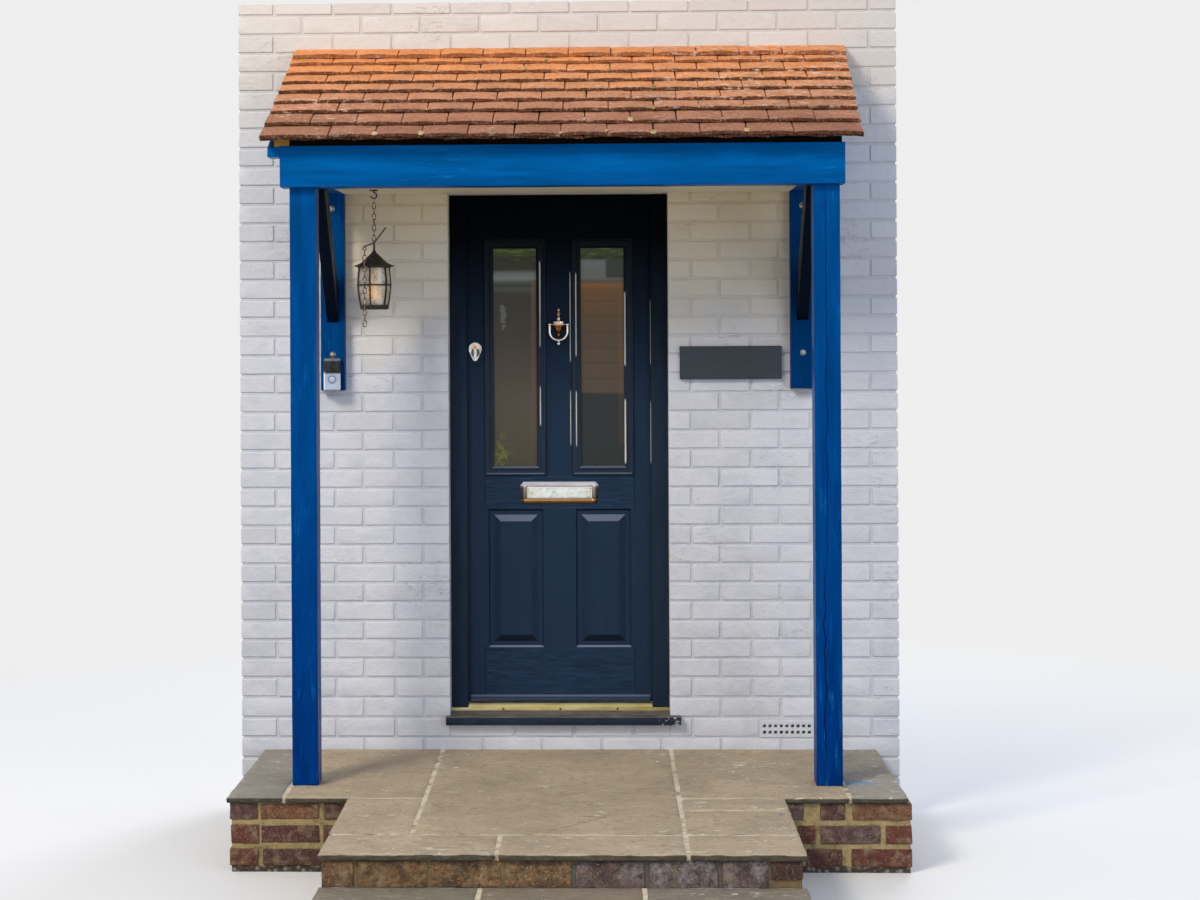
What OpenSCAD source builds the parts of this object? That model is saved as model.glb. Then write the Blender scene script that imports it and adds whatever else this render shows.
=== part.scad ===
// Entrance porch: a tiled lean-to canopy on two posts, the painted brick wall that carries it,
// the panelled front door in that wall, and the brick landing and step in front.
// Millimetres, +Z up. The front faces -Y and the ground is at z = 0.
// "Reach" is the distance in front of the wall's face: it grows towards the step.

/* [House wall] */
// Width of the piece of house wall
wall_w = 2600; // [2500:10:3200]
// Courses of brick in the wall's height
wall_courses = 43; // [42:1:48]
// Thickness of the wall
wall_t = 270; // [230:5:350]
// Height of one brick course with its bed
course_h = 75; // [73:0.5:80]

/* [Air brick] */
// Width of the air brick
vent_w = 215; // [150:5:225]
// Height of the air brick
vent_h = 65; // [60:1:75]
// Thickness of the air brick
vent_t = 60; // [40:5:100]
// Centre of the air brick, right of the porch's middle
vent_x = 858; // [700:1:1100]
// Underside of the air brick
vent_z = 314; // [290:1:420]
// Side of one square hole
vent_hole = 12; // [8:1:14]
// Distance between the columns of holes
vent_pitch = 22; // [18:1:30]
// Distance between the rows of holes
vent_row = 25; // [20:1:28]

/* [Name plaque] */
// Width of the slate plaque
plaque_w = 400; // [300:5:450]
// Height of the slate plaque
plaque_h = 130; // [100:5:200]
// Thickness of the slate plaque
plaque_t = 20; // [10:1:30]
// Centre of the plaque, right of the porch's middle
plaque_x = 643; // [600:1:660]
// Centre height of the plaque
plaque_z = 1793; // [1500:1:2000]

/* [Landing and step] */
// Width over the two wings of the landing
wing_w = 2420; // [2300:10:2460]
// Reach of the wings
wing_d = 862; // [780:2:1000]
// Width of the middle part of the landing and of the step
landing_w = 1550; // [1300:10:1800]
// Reach of the landing's middle part
landing_d = 1667; // [1500:5:1900]
// Height of the brickwork under the landing's slabs
plinth_h = 248; // [230:1:260]
// Thickness of a stone slab
slab_t = 22; // [20:1:30]
// How far the slabs stand out over the brickwork
nosing = 12; // [5:1:20]
// How far the right wing's brickwork stands out past its slabs
brick_over_right = 12; // [0:1:20]
// Width of a mortar joint between slabs
joint_w = 10; // [6:1:16]
// Going of the lower step
step_going = 325; // [280:5:360]
// Height of the step's tread
step_z = 165; // [120:5:180]
// Reach at which the front border row of slabs starts
border_d = 1400; // [1300:5:1450]

/* [Posts and beam] */
// Side of a square post, and depth of the other big timbers
post_s = 95; // [75:1:120]
// Width between the outer faces of the posts
post_span = 2000; // [1940:2:2060]
// Reach of the posts' front faces
post_d = 670; // [640:2:720]
// Height of the beam's underside
beam_z = 2448; // [2410:1:2455]
// Depth of the beam, up and down
beam_h = 150; // [130:1:160]
// Thickness of the beam
beam_t = 100; // [80:1:110]
// How far the beam stands in front of the posts
beam_proud = 30; // [10:1:40]
// How far the beam runs past the left post
beam_over_left = 31; // [15:1:40]
// How far the beam runs past the right post
beam_over_right = 17; // [15:1:40]

/* [Side timbers] */
// Distance from the porch's middle to the centre of the side timbers
side_x = 924; // [910:1:930]
// Thickness of the lighter timbers
thin_t = 45; // [35:1:50]
// Height of the underside of the wall posts
wall_post_z = 1690; // [1500:5:1800]
// Height of a side rail
rail_h = 95; // [80:1:100]
// Lower end of the brace on the wall post
brace_z = 1958; // [1900:1:2000]
// Lean of the brace, from upright
brace_lean = 39.5; // [35:0.5:45]
// Thickness of the ceiling board
ceiling_t = 12; // [9:1:18]
// Thickness of the side cheek boards
cheek_t = 12; // [9:1:18]

/* [Roof] */
// Pitch of the roof
roof_pitch = 28; // [26:0.5:29]
// Height of the battens' upper plane at the wall
roof_z = 2993; // [2980:1:3010]
// Reach of the tiles' lower edge
eave_d = 785; // [760:1:820]
// Width of one tile with its joint
tile_w = 167; // [160:1:170]
// Tiles in a course
tile_count = 13; // [13:1:14]
// Length of one tile
tile_len = 265; // [240:5:290]
// Thickness of one tile
tile_t = 12; // [9:1:14]
// Distance between courses up the slope
tile_gauge = 100; // [90:1:110]
// Length of the short tiles under the first course
under_tile_len = 190; // [165:5:200]
// Depth of a rafter across the slope
rafter_h = 70; // [60:1:75]
// Height of a tile batten
batten_t = 25; // [19:1:30]
// Width of a tile batten
batten_w = 38; // [32:1:45]

/* [Doorway and frame] */
// Width of the doorway in the wall
door_w = 870; // [840:2:900]
// Centre of the doorway, right of the porch's middle
door_x = -36; // [-60:1:0]
// Height of the doorway's bottom
door_z = 368; // [350:1:380]
// Height of the doorway's top, and of the ceiling
head_z = 2465; // [2460:1:2475]
// Depth of the outer reveal
reveal_d = 80; // [60:1:100]
// Visible width of the jambs
jamb_w = 67.5; // [60:0.5:75]
// Visible height of the frame's head
head_h = 70; // [60:1:80]
// Thickness of the frame's stop, front to back
stop_t = 24; // [18:1:30]
// How far the leaf laps behind the stop
stop_lap = 12; // [10:1:15]
// Height of the door sill at the threshold
sill_h = 38; // [34:1:44]
// Fall of the sill's top towards its nose
sill_fall = 6; // [3:1:10]
// How far the sill stands in front of the wall
sill_nose = 35; // [25:1:45]
// How far the sill runs past the doorway on the left
sill_left = 15; // [10:1:30]
// How far the sill runs past the doorway on the right
sill_right = 42; // [10:1:60]
// Height of the metal threshold
threshold_h = 27; // [22:1:32]
// Height of the threshold's front strip, on which the jambs stand
threshold_step = 14; // [10:1:16]

/* [Door leaf] */
// Thickness of the leaf
leaf_t = 44; // [40:1:50]
// Gap round the leaf, for its swing
leaf_gap = 7; // [6:0.5:9]
// Gap in front of the leaf, for its swing
seal_gap = 5; // [5:0.5:8]
// Distance from the leaf's middle to the middle of a pane or panel
bay_x = 175; // [165:1:185]
// Width of a glass pane between its beads
pane_w = 172; // [150:2:190]
// Height of a glass pane between its beads
pane_h = 872; // [800:2:900]
// Height of the panes' lower edge
pane_z = 1380; // [1370:1:1420]
// Width of a glazing bead
bead_w = 38.5; // [30:0.5:42]
// Thickness of a glazing bead outside the leaf
bead_t = 9; // [6:1:12]
// Thickness of the glass
glass_t = 28; // [20:1:30]
// Width of a lower panel
panel_w = 219; // [190:1:230]
// Height of a lower panel
panel_h = 551; // [500:1:560]
// Height of the lower panels' lower edge
panel_z = 656; // [640:1:700]
// Depth of the moulded groove round a panel's field
panel_deep = 8; // [5:0.5:10]
// Width of the flat groove round a panel's field
panel_flat = 18; // [12:1:22]
// Width of the bevel that rises to a panel's field
panel_bevel = 26; // [18:1:32]

/* [Letterplate] */
// Width of the letterplate
plate_w = 315; // [290:1:340]
// Height of the letterplate
plate_h = 90; // [80:1:100]
// Thickness of the letterplate
plate_t = 10; // [7:1:12]
// Width of the letterplate's outer bevel
plate_bevel = 13; // [9:1:14]
// Length cut off each corner of the letterplate
plate_corner = 13; // [8:1:16]
// Centre height of the letterplate
plate_z = 1273; // [1265:1:1280]
// Width of the letter flap
flap_w = 252; // [230:1:260]
// Height of the letter flap
flap_h = 41; // [38:1:45]
// Thickness of the letter flap
flap_t = 4; // [3:0.5:5]
// Gap round the flap
flap_gap = 3; // [2:0.5:4]

/* [Knocker and latch] */
// Height of the knocker's pin
knocker_z = 1946; // [1900:1:1960]
// Mean radius of the knocker's striker
ring_r = 35.5; // [34:0.5:40]
// Radius of the striker's bar
ring_bar = 4.5; // [4:0.5:5]
// Widest radius of the knocker's urn
urn_r = 28; // [24:0.5:29]
// Radius of the striker's ball
ball_r = 8; // [7:0.5:9]
// Centre height of the latch pull
latch_z = 1839; // [1800:1:1900]
// Width of the latch pull
latch_w = 52; // [40:1:54]
// Height of the latch pull
latch_h = 74; // [60:1:90]

/* [Doorbell] */
// Width of the doorbell
bell_w = 66; // [55:1:75]
// Height of the doorbell
bell_h = 126; // [100:1:140]
// Thickness of the doorbell
bell_t = 26; // [20:1:32]
// Height of the doorbell's metal face, below its dark window
bell_face_h = 73; // [70:1:76]
// Height of the doorbell's lower edge
bell_z = 1692; // [1690:1:1720]
// Diameter of the push button
button_dia = 33; // [24:1:36]
// Height of the push button's centre over the doorbell's lower edge
button_up = 43.5; // [35:0.5:48]
// Travel of the push button
button_travel = 2; // [1:0.5:3]

/* [Lantern] */
// Centre of the lantern, left of the porch's middle
lantern_x = -734; // [-745:1:-700]
// Reach of the lantern
lantern_d = 273; // [250:1:320]
// Height of the lantern's chain pivot
lantern_pivot_z = 2432; // [2425:1:2440]
// Height of the neck that carries the lantern's loop
neck_h = 20; // [16:1:24]
// Height of the lantern's cap over its brim
cap_h = 62; // [50:1:70]
// Height of the lantern's brim
brim_z = 2171; // [2150:1:2180]
// Diameter of the lantern's brim
brim_dia = 150; // [140:1:160]
// Height of the lantern's base
lantern_base_z = 2007; // [1990:1:2020]
// Diameter of the cage at its base
cage_foot_dia = 106; // [95:1:110]
// Diameter of the cage at its top
cage_head_dia = 124; // [115:1:128]
// How far the cage's sides bulge
cage_bulge = 9; // [6:0.5:11]
// Upright bars of the cage
cage_bars = 6; // [4:1:10]
// Turn of the cage's first bar, from the right
cage_turn = 21; // [0:1:45]
// How far the spare chain hangs left of the lantern's middle
tail_left = 28; // [20:1:34]
// Links of the spare chain
tail_links = 14; // [10:1:16]

/* [Hidden] */
$fn = 48;

// Colours, as painted
masonry_white = "#e9e7e0";
timber_blue = "#0c5296";
door_blue = "#2c3a52";
stone_brown = "#8d8378";
brick_brown = "#6d4a3a";
tile_brown = "#a4603c";
metal_gold = "#b8974e";
metal_bright = "#b5b2a8";
metal_dark = "#2b2a28";

// Small amount by which a cutting shape passes a face
over = 1;
// Clearance between pieces that must not touch
slack = 0.3;
// Clearance of a sloping seat, where one timber lies on another
seat = 0.1;

wall_h = wall_courses * course_h;
// Place of the wall's face, so that the footprint is centred on the origin
reach = landing_d - nosing + step_going;
face_y = (reach - wall_t) / 2;
function at(d) = face_y - d;

// Landing and step
landing_z = plinth_h + slab_t;
step_x = landing_w / 2;
wing_x = wing_w / 2;
brick_x1 = wing_x + brick_over_right;
riser_d = landing_d - nosing;
step_d = riser_d + step_going;
// Joint lines between the slabs, from the porch's middle
joint_right = 400;
joint_left = -500;
joint_wing = 1005;
joint_border = -207;
cross_d = 1050;

// Posts, beam and side timbers
post_x = (post_span - post_s) / 2;
beam_d = post_d + beam_proud;
beam_back = beam_d - beam_t;
beam_top = beam_z + beam_h;
beam_x0 = -post_span / 2 - beam_over_left;
beam_x1 = post_span / 2 + beam_over_right;
rail_top = head_z + rail_h;
side_in = side_x - post_s / 2;

// Roof, worked out down the slope
slope = tan(roof_pitch);
lean = cos(roof_pitch);
function batten_line(d) = roof_z - d * slope;
function rafter_line(d) = batten_line(d) - batten_t / lean;
function rafter_foot(d) = rafter_line(d) - rafter_h / lean;
roof_w = tile_w * tile_count;
tile_lift = tile_t / tile_gauge;
tail_top = tile_t + tile_len * tile_lift;
slope_len = eave_d / lean;
courses = floor((slope_len - tile_gauge / 2) / tile_gauge);
wall_plate_h = 95;
batten_end = 30;
barge_cut = 40;
plate_top = rafter_foot(thin_t) + 16;
rafter_xs = [-side_x, -side_x / 2, 0, side_x / 2, side_x];

// Doorway, frame and leaf
door_x0 = door_x - door_w / 2;
door_x1 = door_x + door_w / 2;
frame_front = -reveal_d;
leaf_front = frame_front - stop_t - seal_gap;
leaf_back = leaf_front - leaf_t;
frame_back = leaf_back;
rebate_w = jamb_w - stop_lap - leaf_gap;
leaf_x0 = door_x0 + jamb_w - stop_lap;
leaf_x1 = door_x1 - jamb_w + stop_lap;
threshold_z = door_z + sill_h;
jamb_z = threshold_z + threshold_step;
frame_z = threshold_z + threshold_h;
threshold_front = frame_front + 5;
threshold_slope = 12;
drip_w = 6;
drip_in = 8;
drip_deep = 5;
leaf_z0 = frame_z + seal_gap;
leaf_z1 = head_z - head_h + stop_lap;
rebate_z = leaf_z1 + leaf_gap;
sight_w = door_w - 2 * jamb_w;

// Hinges of the door
knuckle_r = 7;
knuckle_h = 40;
hinge_pin_r = 3;
hinge_plate_t = 3;
hinge_plate_w = 34;
hinge_x = leaf_x1 + leaf_gap / 2;
hinge_d = leaf_back - knuckle_r;
hinge_end = 220;
hinge_zs = [leaf_z0 + hinge_end, (leaf_z0 + leaf_z1) / 2, leaf_z1 - hinge_end];

// Glazing and panels
glass_rebate = 9;
bead_lip = (leaf_t - glass_t) / 2;
panel_edge = 4;
// Moulding of a bead, from its outer edge to the glass, as shares of its width and thickness:
// an outer ridge, a hollow, an inner ridge and a slope
bead_shares = [
    [0, 0], [0.05, 0.85], [0.09, 1], [0.18, 1], [0.3, 0.55], [0.6, 0.5], [0.7, 0.85], [0.8, 0.85], [1, 0.2]
];

// Letterplate
sleeve_t = 3;
window_w = flap_w + 2 * flap_gap;
window_h = flap_h + 2 * flap_gap;
sleeve_w = window_w + 2 * sleeve_t;
sleeve_h = window_h + 2 * sleeve_t;
inner_plate_t = 5;
dish_t = 5;
dish_bevel = 7.5;
flap_d = leaf_front + 5;
flap_pin_r = 1.5;
flap_pin_z = plate_z + flap_h / 2 - 2 * flap_pin_r;

// Latch pull
latch_base_t = 4;
latch_rim_t = 10;
latch_rim_w = 5;
latch_foot_r = 11;

// Knocker, with heights counted from its pin. Its urn is drawn for one that is 28 in radius
urn_drawn_r = 28;
knocker_pin_r = 2.5;
knocker_reach = 16;
ring_drop = -27;
ball_z = -76;

// Doorbell
bell_d = thin_t;
bell_corner = 6;
bell_face_t = 4;
bell_window = 51;
bell_window_t = 3;
lens_r = 11;
lens_up = 90;
button_t = 8;
button_proud = 2;
button_groove = 1.2;

// Lantern
hook_wire = 2.5;
hook_r = 11;
link_wire = 1.75;
link_l = 28;
link_w = 16;
link_pitch = link_l - 4 * link_wire - slack;
chain_top = lantern_pivot_z + hook_wire + 2 * link_wire + 0.5;
cap_top = brim_z + cap_h;
cage_top = brim_z - 5;
loop_r = 8;
chain_links = floor((chain_top - link_l - cap_top - neck_h - loop_r) / link_pitch) + 1;
chain_end = chain_top - link_l - (chain_links - 1) * link_pitch;
loop_z = chain_end + 3 * link_wire + slack - loop_r;
cage_wire = 5;
// Bent rod behind the loop, which carries the spare chain clear of the brim
rod_r = 2.5;
rod_knuckle_r = 3.2;
rod_over_eye = 1.5;
rod_tip = [41, 20, loop_z + 56];
rod_bend = [0, loop_r, loop_z];
eye_r = 6.5;
eye_z = loop_z - 26;
tail_reach = sqrt(pow(brim_dia / 2 + link_w / 2 + 2, 2) - pow(tail_left, 2));
spare_top = eye_z - eye_r + 3 * link_wire + slack;

// A plain block, given from side to side, from back reach to front reach, and from low to high
module block(x0, x1, d0, d1, z0, z1)
    translate([x0, at(d1), z0]) cube([x1 - x0, d1 - d0, z1 - z0]);

// An outline seen from the side, points [reach, height], drawn out along X
module side_prism(x0, w, points)
    translate([x0, 0, 0]) rotate([90, 0, 90]) linear_extrude(w)
        polygon([for (p = points) [at(p[0]), p[1]]]);

// A flat-topped raised field that faces -Y, its back on the XZ plane
module raised_field(w, h, t, bevel)
    intersection() {
        linear_extrude(h, center = true)
            polygon([[-w / 2, 0], [w / 2, 0], [w / 2 - bevel, -t], [-w / 2 + bevel, -t]]);
        rotate([0, 90, 0]) linear_extrude(w, center = true)
            polygon([[-h / 2, 0], [h / 2, 0], [h / 2 - bevel, -t], [-h / 2 + bevel, -t]]);
    }

// The cut for a sunk field that faces -Y: it narrows as it goes in
module sunk_field(w, h, t, bevel) {
    rotate([0, 0, 180]) raised_field(w, h, t, bevel);
    translate([-w / 2, -over, -h / 2]) cube([w, over, h]);
}

// A raised field whose corners are cut off at 45 degrees, with the same bevel all round
module cut_corner_field(w, h, t, bevel, corner) {
    across = (w + h - 2 * corner) / sqrt(2);
    intersection() {
        raised_field(w, h, t, bevel);
        rotate([0, 45, 0]) diagonal_bar(across, w + h, t, bevel);
        rotate([0, -45, 0]) diagonal_bar(across, w + h, t, bevel);
    }
}

module diagonal_bar(across, long, t, bevel)
    linear_extrude(long, center = true)
        polygon([[-across / 2, 0], [across / 2, 0], [across / 2 - bevel, -t], [-across / 2 + bevel, -t]]);

// A moulding mitred round a rectangle that faces -Y. Its profile is [inwards, outwards] from the edge
module mitred_frame(w, h, profile, thick) {
    deep = max([for (p = profile) p[0]]);
    for (side = [0 : 3]) {
        run = (side % 2 == 0) ? w : h;
        across = (side % 2 == 0) ? h : w;
        rotate([0, side * 90, 0])
            intersection() {
                translate([-run / 2, 0, -across / 2]) rotate([90, 0, 90]) linear_extrude(run)
                    polygon([for (p = profile) [-p[1], p[0]]]);
                rotate([90, 0, 0]) linear_extrude(2 * thick, center = true)
                    polygon([
                        [-run / 2, -across / 2], [run / 2, -across / 2],
                        [run / 2 - deep, deep - across / 2], [deep - run / 2, deep - across / 2]
                    ]);
            }
    }
}

// A block that faces -Y with its back on the XZ plane, its lower edge at z = 0 and four round corners
module rounded_block(w, h, t, r)
    rotate([90, 0, 0]) {
        translate([-w / 2 + r, 0, 0]) cube([w - 2 * r, h, t]);
        translate([-w / 2, r, 0]) cube([w, h - 2 * r, t]);
        for (x = [-w / 2 + r, w / 2 - r], y = [r, h - r])
            translate([x, y, 0]) cylinder(r = r, h = t);
    }

// A round bar between two points
module bar(p, q, r) {
    d = q - p;
    translate(p) rotate([0, acos(d[2] / norm(d)), atan2(d[1], d[0])]) cylinder(r = r, h = norm(d));
}

// House wall

module wall_left() color(masonry_white)
    block(-wall_w / 2, door_x0, -wall_t, 0, 0, wall_h);

module wall_right() color(masonry_white)
    difference() {
        block(door_x1, wall_w / 2, -wall_t, 0, 0, wall_h);
        block(vent_x - vent_w / 2, vent_x + vent_w / 2, -wall_t - over, over, vent_z, vent_z + vent_h);
    }

module wall_over_door() color(masonry_white)
    block(door_x0, door_x1, -wall_t, 0, head_z, wall_h);

module wall_under_door() color(masonry_white)
    block(door_x0, door_x1, -wall_t, 0, 0, door_z);

module air_brick() {
    columns = floor((vent_w - vent_hole) / vent_pitch);
    rows = floor((vent_h - 2 * vent_hole) / vent_row) + 1;
    color(masonry_white)
        difference() {
            block(vent_x - vent_w / 2, vent_x + vent_w / 2, -vent_t, 0, vent_z, vent_z + vent_h);
            for (c = [0 : columns - 1], r = [0 : rows - 1])
                translate([
                    vent_x + (c - (columns - 1) / 2) * vent_pitch - vent_hole / 2,
                    at(0) - over,
                    vent_z + vent_h / 2 + (r - (rows - 1) / 2) * vent_row - vent_hole / 2
                ])
                    cube([vent_hole, vent_t + 2 * over, vent_hole]);
        }
}

module name_plaque() color("#3f454f")
    block(plaque_x - plaque_w / 2, plaque_x + plaque_w / 2, 0, plaque_t,
        plaque_z - plaque_h / 2, plaque_z + plaque_h / 2);

// Landing and step

module landing_plinth() color(brick_brown)
    linear_extrude(plinth_h)
        polygon([
            [-wing_x + nosing, at(0)], [brick_x1, at(0)],
            [brick_x1, at(wing_d - nosing)], [step_x - nosing, at(wing_d - nosing)],
            [step_x - nosing, at(riser_d)], [-step_x + nosing, at(riser_d)],
            [-step_x + nosing, at(wing_d - nosing)], [-wing_x + nosing, at(wing_d - nosing)]
        ]);

// One slab, cut back by half a joint along every edge
module slab(x0, x1, d0, d1, z) {
    j = joint_w / 2;
    block(x0 + j, x1 - j, d0 + j, d1 - j, z, z + slab_t);
}

module landing_slabs() {
    j = joint_w / 2;
    left_end = -wing_x - j;
    right_end = wing_x + j;
    wing_end = wing_d + j;
    color(stone_brown) {
        slab(left_end, -joint_wing, -j, wing_end, plinth_h);
        slab(-joint_wing, joint_left, -j, wing_end, plinth_h);
        slab(joint_left, joint_right, -j, border_d, plinth_h);
        slab(joint_right, joint_wing, -j, wing_end, plinth_h);
        slab(joint_wing, right_end, -j, wing_end, plinth_h);
        slab(-step_x - j, joint_left, wing_end, border_d, plinth_h);
        slab(joint_right, step_x + j, wing_end, cross_d, plinth_h);
        slab(joint_right, step_x + j, cross_d, border_d, plinth_h);
        slab(-step_x - j, joint_border, border_d, landing_d + j, plinth_h);
        slab(joint_border, joint_right, border_d, landing_d + j, plinth_h);
        slab(joint_right, step_x + j, border_d, landing_d + j, plinth_h);
    }
}

module step_plinth() color(brick_brown)
    block(-step_x + nosing, step_x - nosing, riser_d, step_d - nosing, 0, step_z - slab_t);

module step_slabs() {
    j = joint_w / 2;
    third = (landing_w + joint_w) / 3;
    color(stone_brown)
        for (i = [0 : 2])
            slab(-step_x - j + i * third, -step_x - j + (i + 1) * third,
                riser_d - j, step_d + j, step_z - slab_t);
}

// Posts, beam and side timbers

module post(x) color(timber_blue)
    block(x - post_s / 2, x + post_s / 2, post_d - post_s, post_d, landing_z, beam_z);

module post_left() post(-post_x);
module post_right() post(post_x);

module front_beam() color(timber_blue)
    block(beam_x0, beam_x1, beam_back, beam_d, beam_z, beam_top);

module side_rails() color(timber_blue)
    for (side = [-1, 1])
        block(side * side_x - post_s / 2, side * side_x + post_s / 2, 0, beam_back, head_z, rail_top);

module wall_post(x) color(timber_blue)
    block(x - post_s / 2, x + post_s / 2, 0, thin_t, wall_post_z, head_z);

module wall_post_left() wall_post(-side_x);
module wall_post_right() wall_post(side_x);

module brace(x) {
    cut = post_s / sin(brace_lean);
    run = tan(brace_lean);
    color(timber_blue)
        side_prism(x - thin_t / 2, thin_t, [
            [thin_t, brace_z], [thin_t + (head_z - brace_z) * run, head_z],
            [thin_t + (head_z - brace_z - cut) * run, head_z], [thin_t, brace_z + cut]
        ]);
}

module brace_left() brace(-side_x);
module brace_right() brace(side_x);

// Dome-headed bolts with washers that hold the wall posts
module coach_bolts() {
    washer_r = 11.5;
    washer_t = 3;
    dome_r = 8;
    bolt_up = 142;
    bolt_down = 57;
    color(metal_dark)
        for (side = [-1, 1], z = [wall_post_z + bolt_up, head_z - bolt_down])
            translate([side * side_x, at(thin_t), z]) rotate([90, 0, 0]) {
                cylinder(r = washer_r, h = washer_t);
                translate([0, 0, washer_t]) intersection() {
                    sphere(r = dome_r);
                    translate([0, 0, dome_r / 2 - washer_t / 2])
                        cube([2 * dome_r, 2 * dome_r, dome_r + washer_t], center = true);
                }
            }
}

module ceiling_board() color("#efe6cf")
    block(-side_in, side_in, 0, beam_back, head_z, head_z + ceiling_t);

// Roof

module wall_plate() color(timber_blue)
    block(-side_x - thin_t / 2, side_x + thin_t / 2, 0, thin_t, plate_top - wall_plate_h, plate_top);

// A rafter notched over the wall plate and over the beam
module rafter(x) {
    side_prism(x - thin_t / 2, thin_t, [
        [0, rafter_line(0)], [0, plate_top], [thin_t, plate_top], [thin_t, rafter_foot(thin_t)],
        [beam_back, rafter_foot(beam_back)], [beam_back, beam_top],
        [(roof_z - batten_t / lean - beam_top) / slope, beam_top]
    ]);
}

module rafters() color(timber_blue)
    for (x = rafter_xs) rafter(x);

// The outer rafter beyond the left end of the beam, with a level cut under its tail
module barge_left() {
    tail_z = beam_top - barge_cut;
    color(timber_blue)
        side_prism(beam_x0 - thin_t, thin_t, [
            [0, rafter_line(0)], [0, rafter_foot(0)],
            [(roof_z - batten_t / lean - rafter_h / lean - tail_z) / slope, tail_z],
            [beam_d, tail_z], [beam_d, rafter_line(beam_d)]
        ]);
}

// The outer rafter on the right dies on the back of the beam
module barge_right() color(timber_blue)
    side_prism(beam_x1 - thin_t, thin_t, [
        [0, rafter_line(0)], [0, rafter_foot(0)],
        [beam_back, rafter_foot(beam_back)], [beam_back, rafter_line(beam_back)]
    ]);

module side_cheeks() color(timber_blue)
    for (side = [-1, 1])
        side_prism(side * (side_x + thin_t / 2 + cheek_t / 2) - cheek_t / 2, cheek_t, [
            [0, rail_top], [beam_back, rail_top], [beam_back, rafter_line(beam_back)], [0, rafter_line(0)]
        ]);

// A batten under the head of every course, and a fillet on the beam that tilts the eave tiles
module tile_battens() {
    color("#8a6f52") {
        for (i = [0 : courses - 1]) {
            s = (i == 0) ? under_tile_len - 25 : tile_len - 25 + (i - 1) * tile_gauge;
            d = eave_d - s * lean;
            if (d > batten_w)
                side_prism(-roof_w / 2 + batten_end, roof_w - 2 * batten_end, [
                    [d, batten_line(d) - seat], [d, rafter_line(d) + seat],
                    [d - batten_w * lean, rafter_line(d - batten_w * lean) + seat],
                    [d - batten_w * lean, batten_line(d - batten_w * lean) - seat]
                ]);
        }
    }
}

// The stepped upper outline of the lapped tiles, and their flat underside
module roof_tiles() {
    eave_foot = tail_top - 2 * tile_t;
    points = concat(
        [for (i = [0 : courses - 1], e = [0, 1])
            [i * tile_gauge + e * tile_gauge, tail_top - e * tile_t]],
        [[slope_len, tail_top - tile_t * 1.3], [slope_len, 0], [under_tile_len, 0], [0, eave_foot]]
    );
    color(tile_brown)
        side_prism(-roof_w / 2, roof_w, [
            for (p = points)
                let (d = max(0, eave_d - p[0] * lean - p[1] * sin(roof_pitch) + tail_top * sin(roof_pitch)))
                [d, batten_line(d) + p[1] / lean]
        ]);
}

// Door frame

module jamb(side) {
    outer = (side < 0) ? door_x0 : door_x1;
    color(door_blue) {
        linear_extrude_z(jamb_z, head_z)
            polygon([
                [outer, at(frame_front)], [outer - side * jamb_w, at(frame_front)],
                [outer - side * jamb_w, at(frame_front - stop_t)],
                [outer - side * rebate_w, at(frame_front - stop_t)],
                [outer - side * rebate_w, at(frame_back)], [outer, at(frame_back)]
            ]);
    }
}

// Draws an outline in plan from one height to another
module linear_extrude_z(z0, z1)
    translate([0, 0, z0]) linear_extrude(z1 - z0) children();

module door_jamb_left() jamb(-1);
module door_jamb_right() jamb(1);

module door_head() color(door_blue) {
    block(door_x0 + jamb_w, door_x1 - jamb_w, frame_front - stop_t, frame_front, head_z - head_h, head_z);
    block(door_x0 + rebate_w, door_x1 - rebate_w, frame_back, frame_front - stop_t, rebate_z, head_z);
}

// Sill with ears past the doorway, a top that falls to its nose, and a drip groove under the nose
module door_sill() {
    x0 = door_x0 - sill_left;
    x1 = door_x1 + sill_right;
    drip_d = sill_nose - drip_in;
    color("#d9d6cc")
        difference() {
            intersection() {
                linear_extrude_z(door_z, threshold_z)
                    polygon([
                        [door_x0, at(frame_back)], [door_x1, at(frame_back)], [door_x1, at(0)],
                        [x1, at(0)], [x1, at(sill_nose)], [x0, at(sill_nose)], [x0, at(0)], [door_x0, at(0)]
                    ]);
                side_prism(x0, x1 - x0, [
                    [frame_back, door_z], [frame_back, threshold_z], [threshold_front, threshold_z],
                    [sill_nose, threshold_z - sill_fall], [sill_nose, door_z]
                ]);
            }
            block(x0 - over, x1 + over, drip_d - drip_w, drip_d, door_z - over, door_z + drip_deep);
        }
}

// Threshold: a front strip under the jambs, and between them a slope up to the leaf's level
module door_threshold() color(metal_gold) {
    block(door_x0, door_x1, frame_back, threshold_front, threshold_z, jamb_z);
    side_prism(door_x0 + jamb_w, sight_w, [
        [threshold_front, jamb_z], [threshold_front - threshold_slope, frame_z],
        [frame_back, frame_z], [frame_back, jamb_z]
    ]);
    block(door_x0 + rebate_w, door_x1 - rebate_w, frame_back, frame_front - stop_t, jamb_z, frame_z);
}

// Frame half of each hinge: the lower knuckle with its pin, and its plate
module frame_hinges() color(metal_bright)
    for (z = hinge_zs)
        translate([hinge_x, at(hinge_d), z]) {
            translate([0, 0, -knuckle_h]) cylinder(r = knuckle_r, h = knuckle_h - slack);
            translate([0, 0, -over]) cylinder(r = hinge_pin_r, h = knuckle_h - 5);
            translate([leaf_gap / 2 + 1, -knuckle_r, -knuckle_h])
                cube([hinge_plate_w, hinge_plate_t, knuckle_h - slack]);
            translate([0, -knuckle_r, -knuckle_h])
                cube([leaf_gap / 2 + 1 + over, hinge_plate_t, knuckle_h - slack]);
        }

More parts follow.
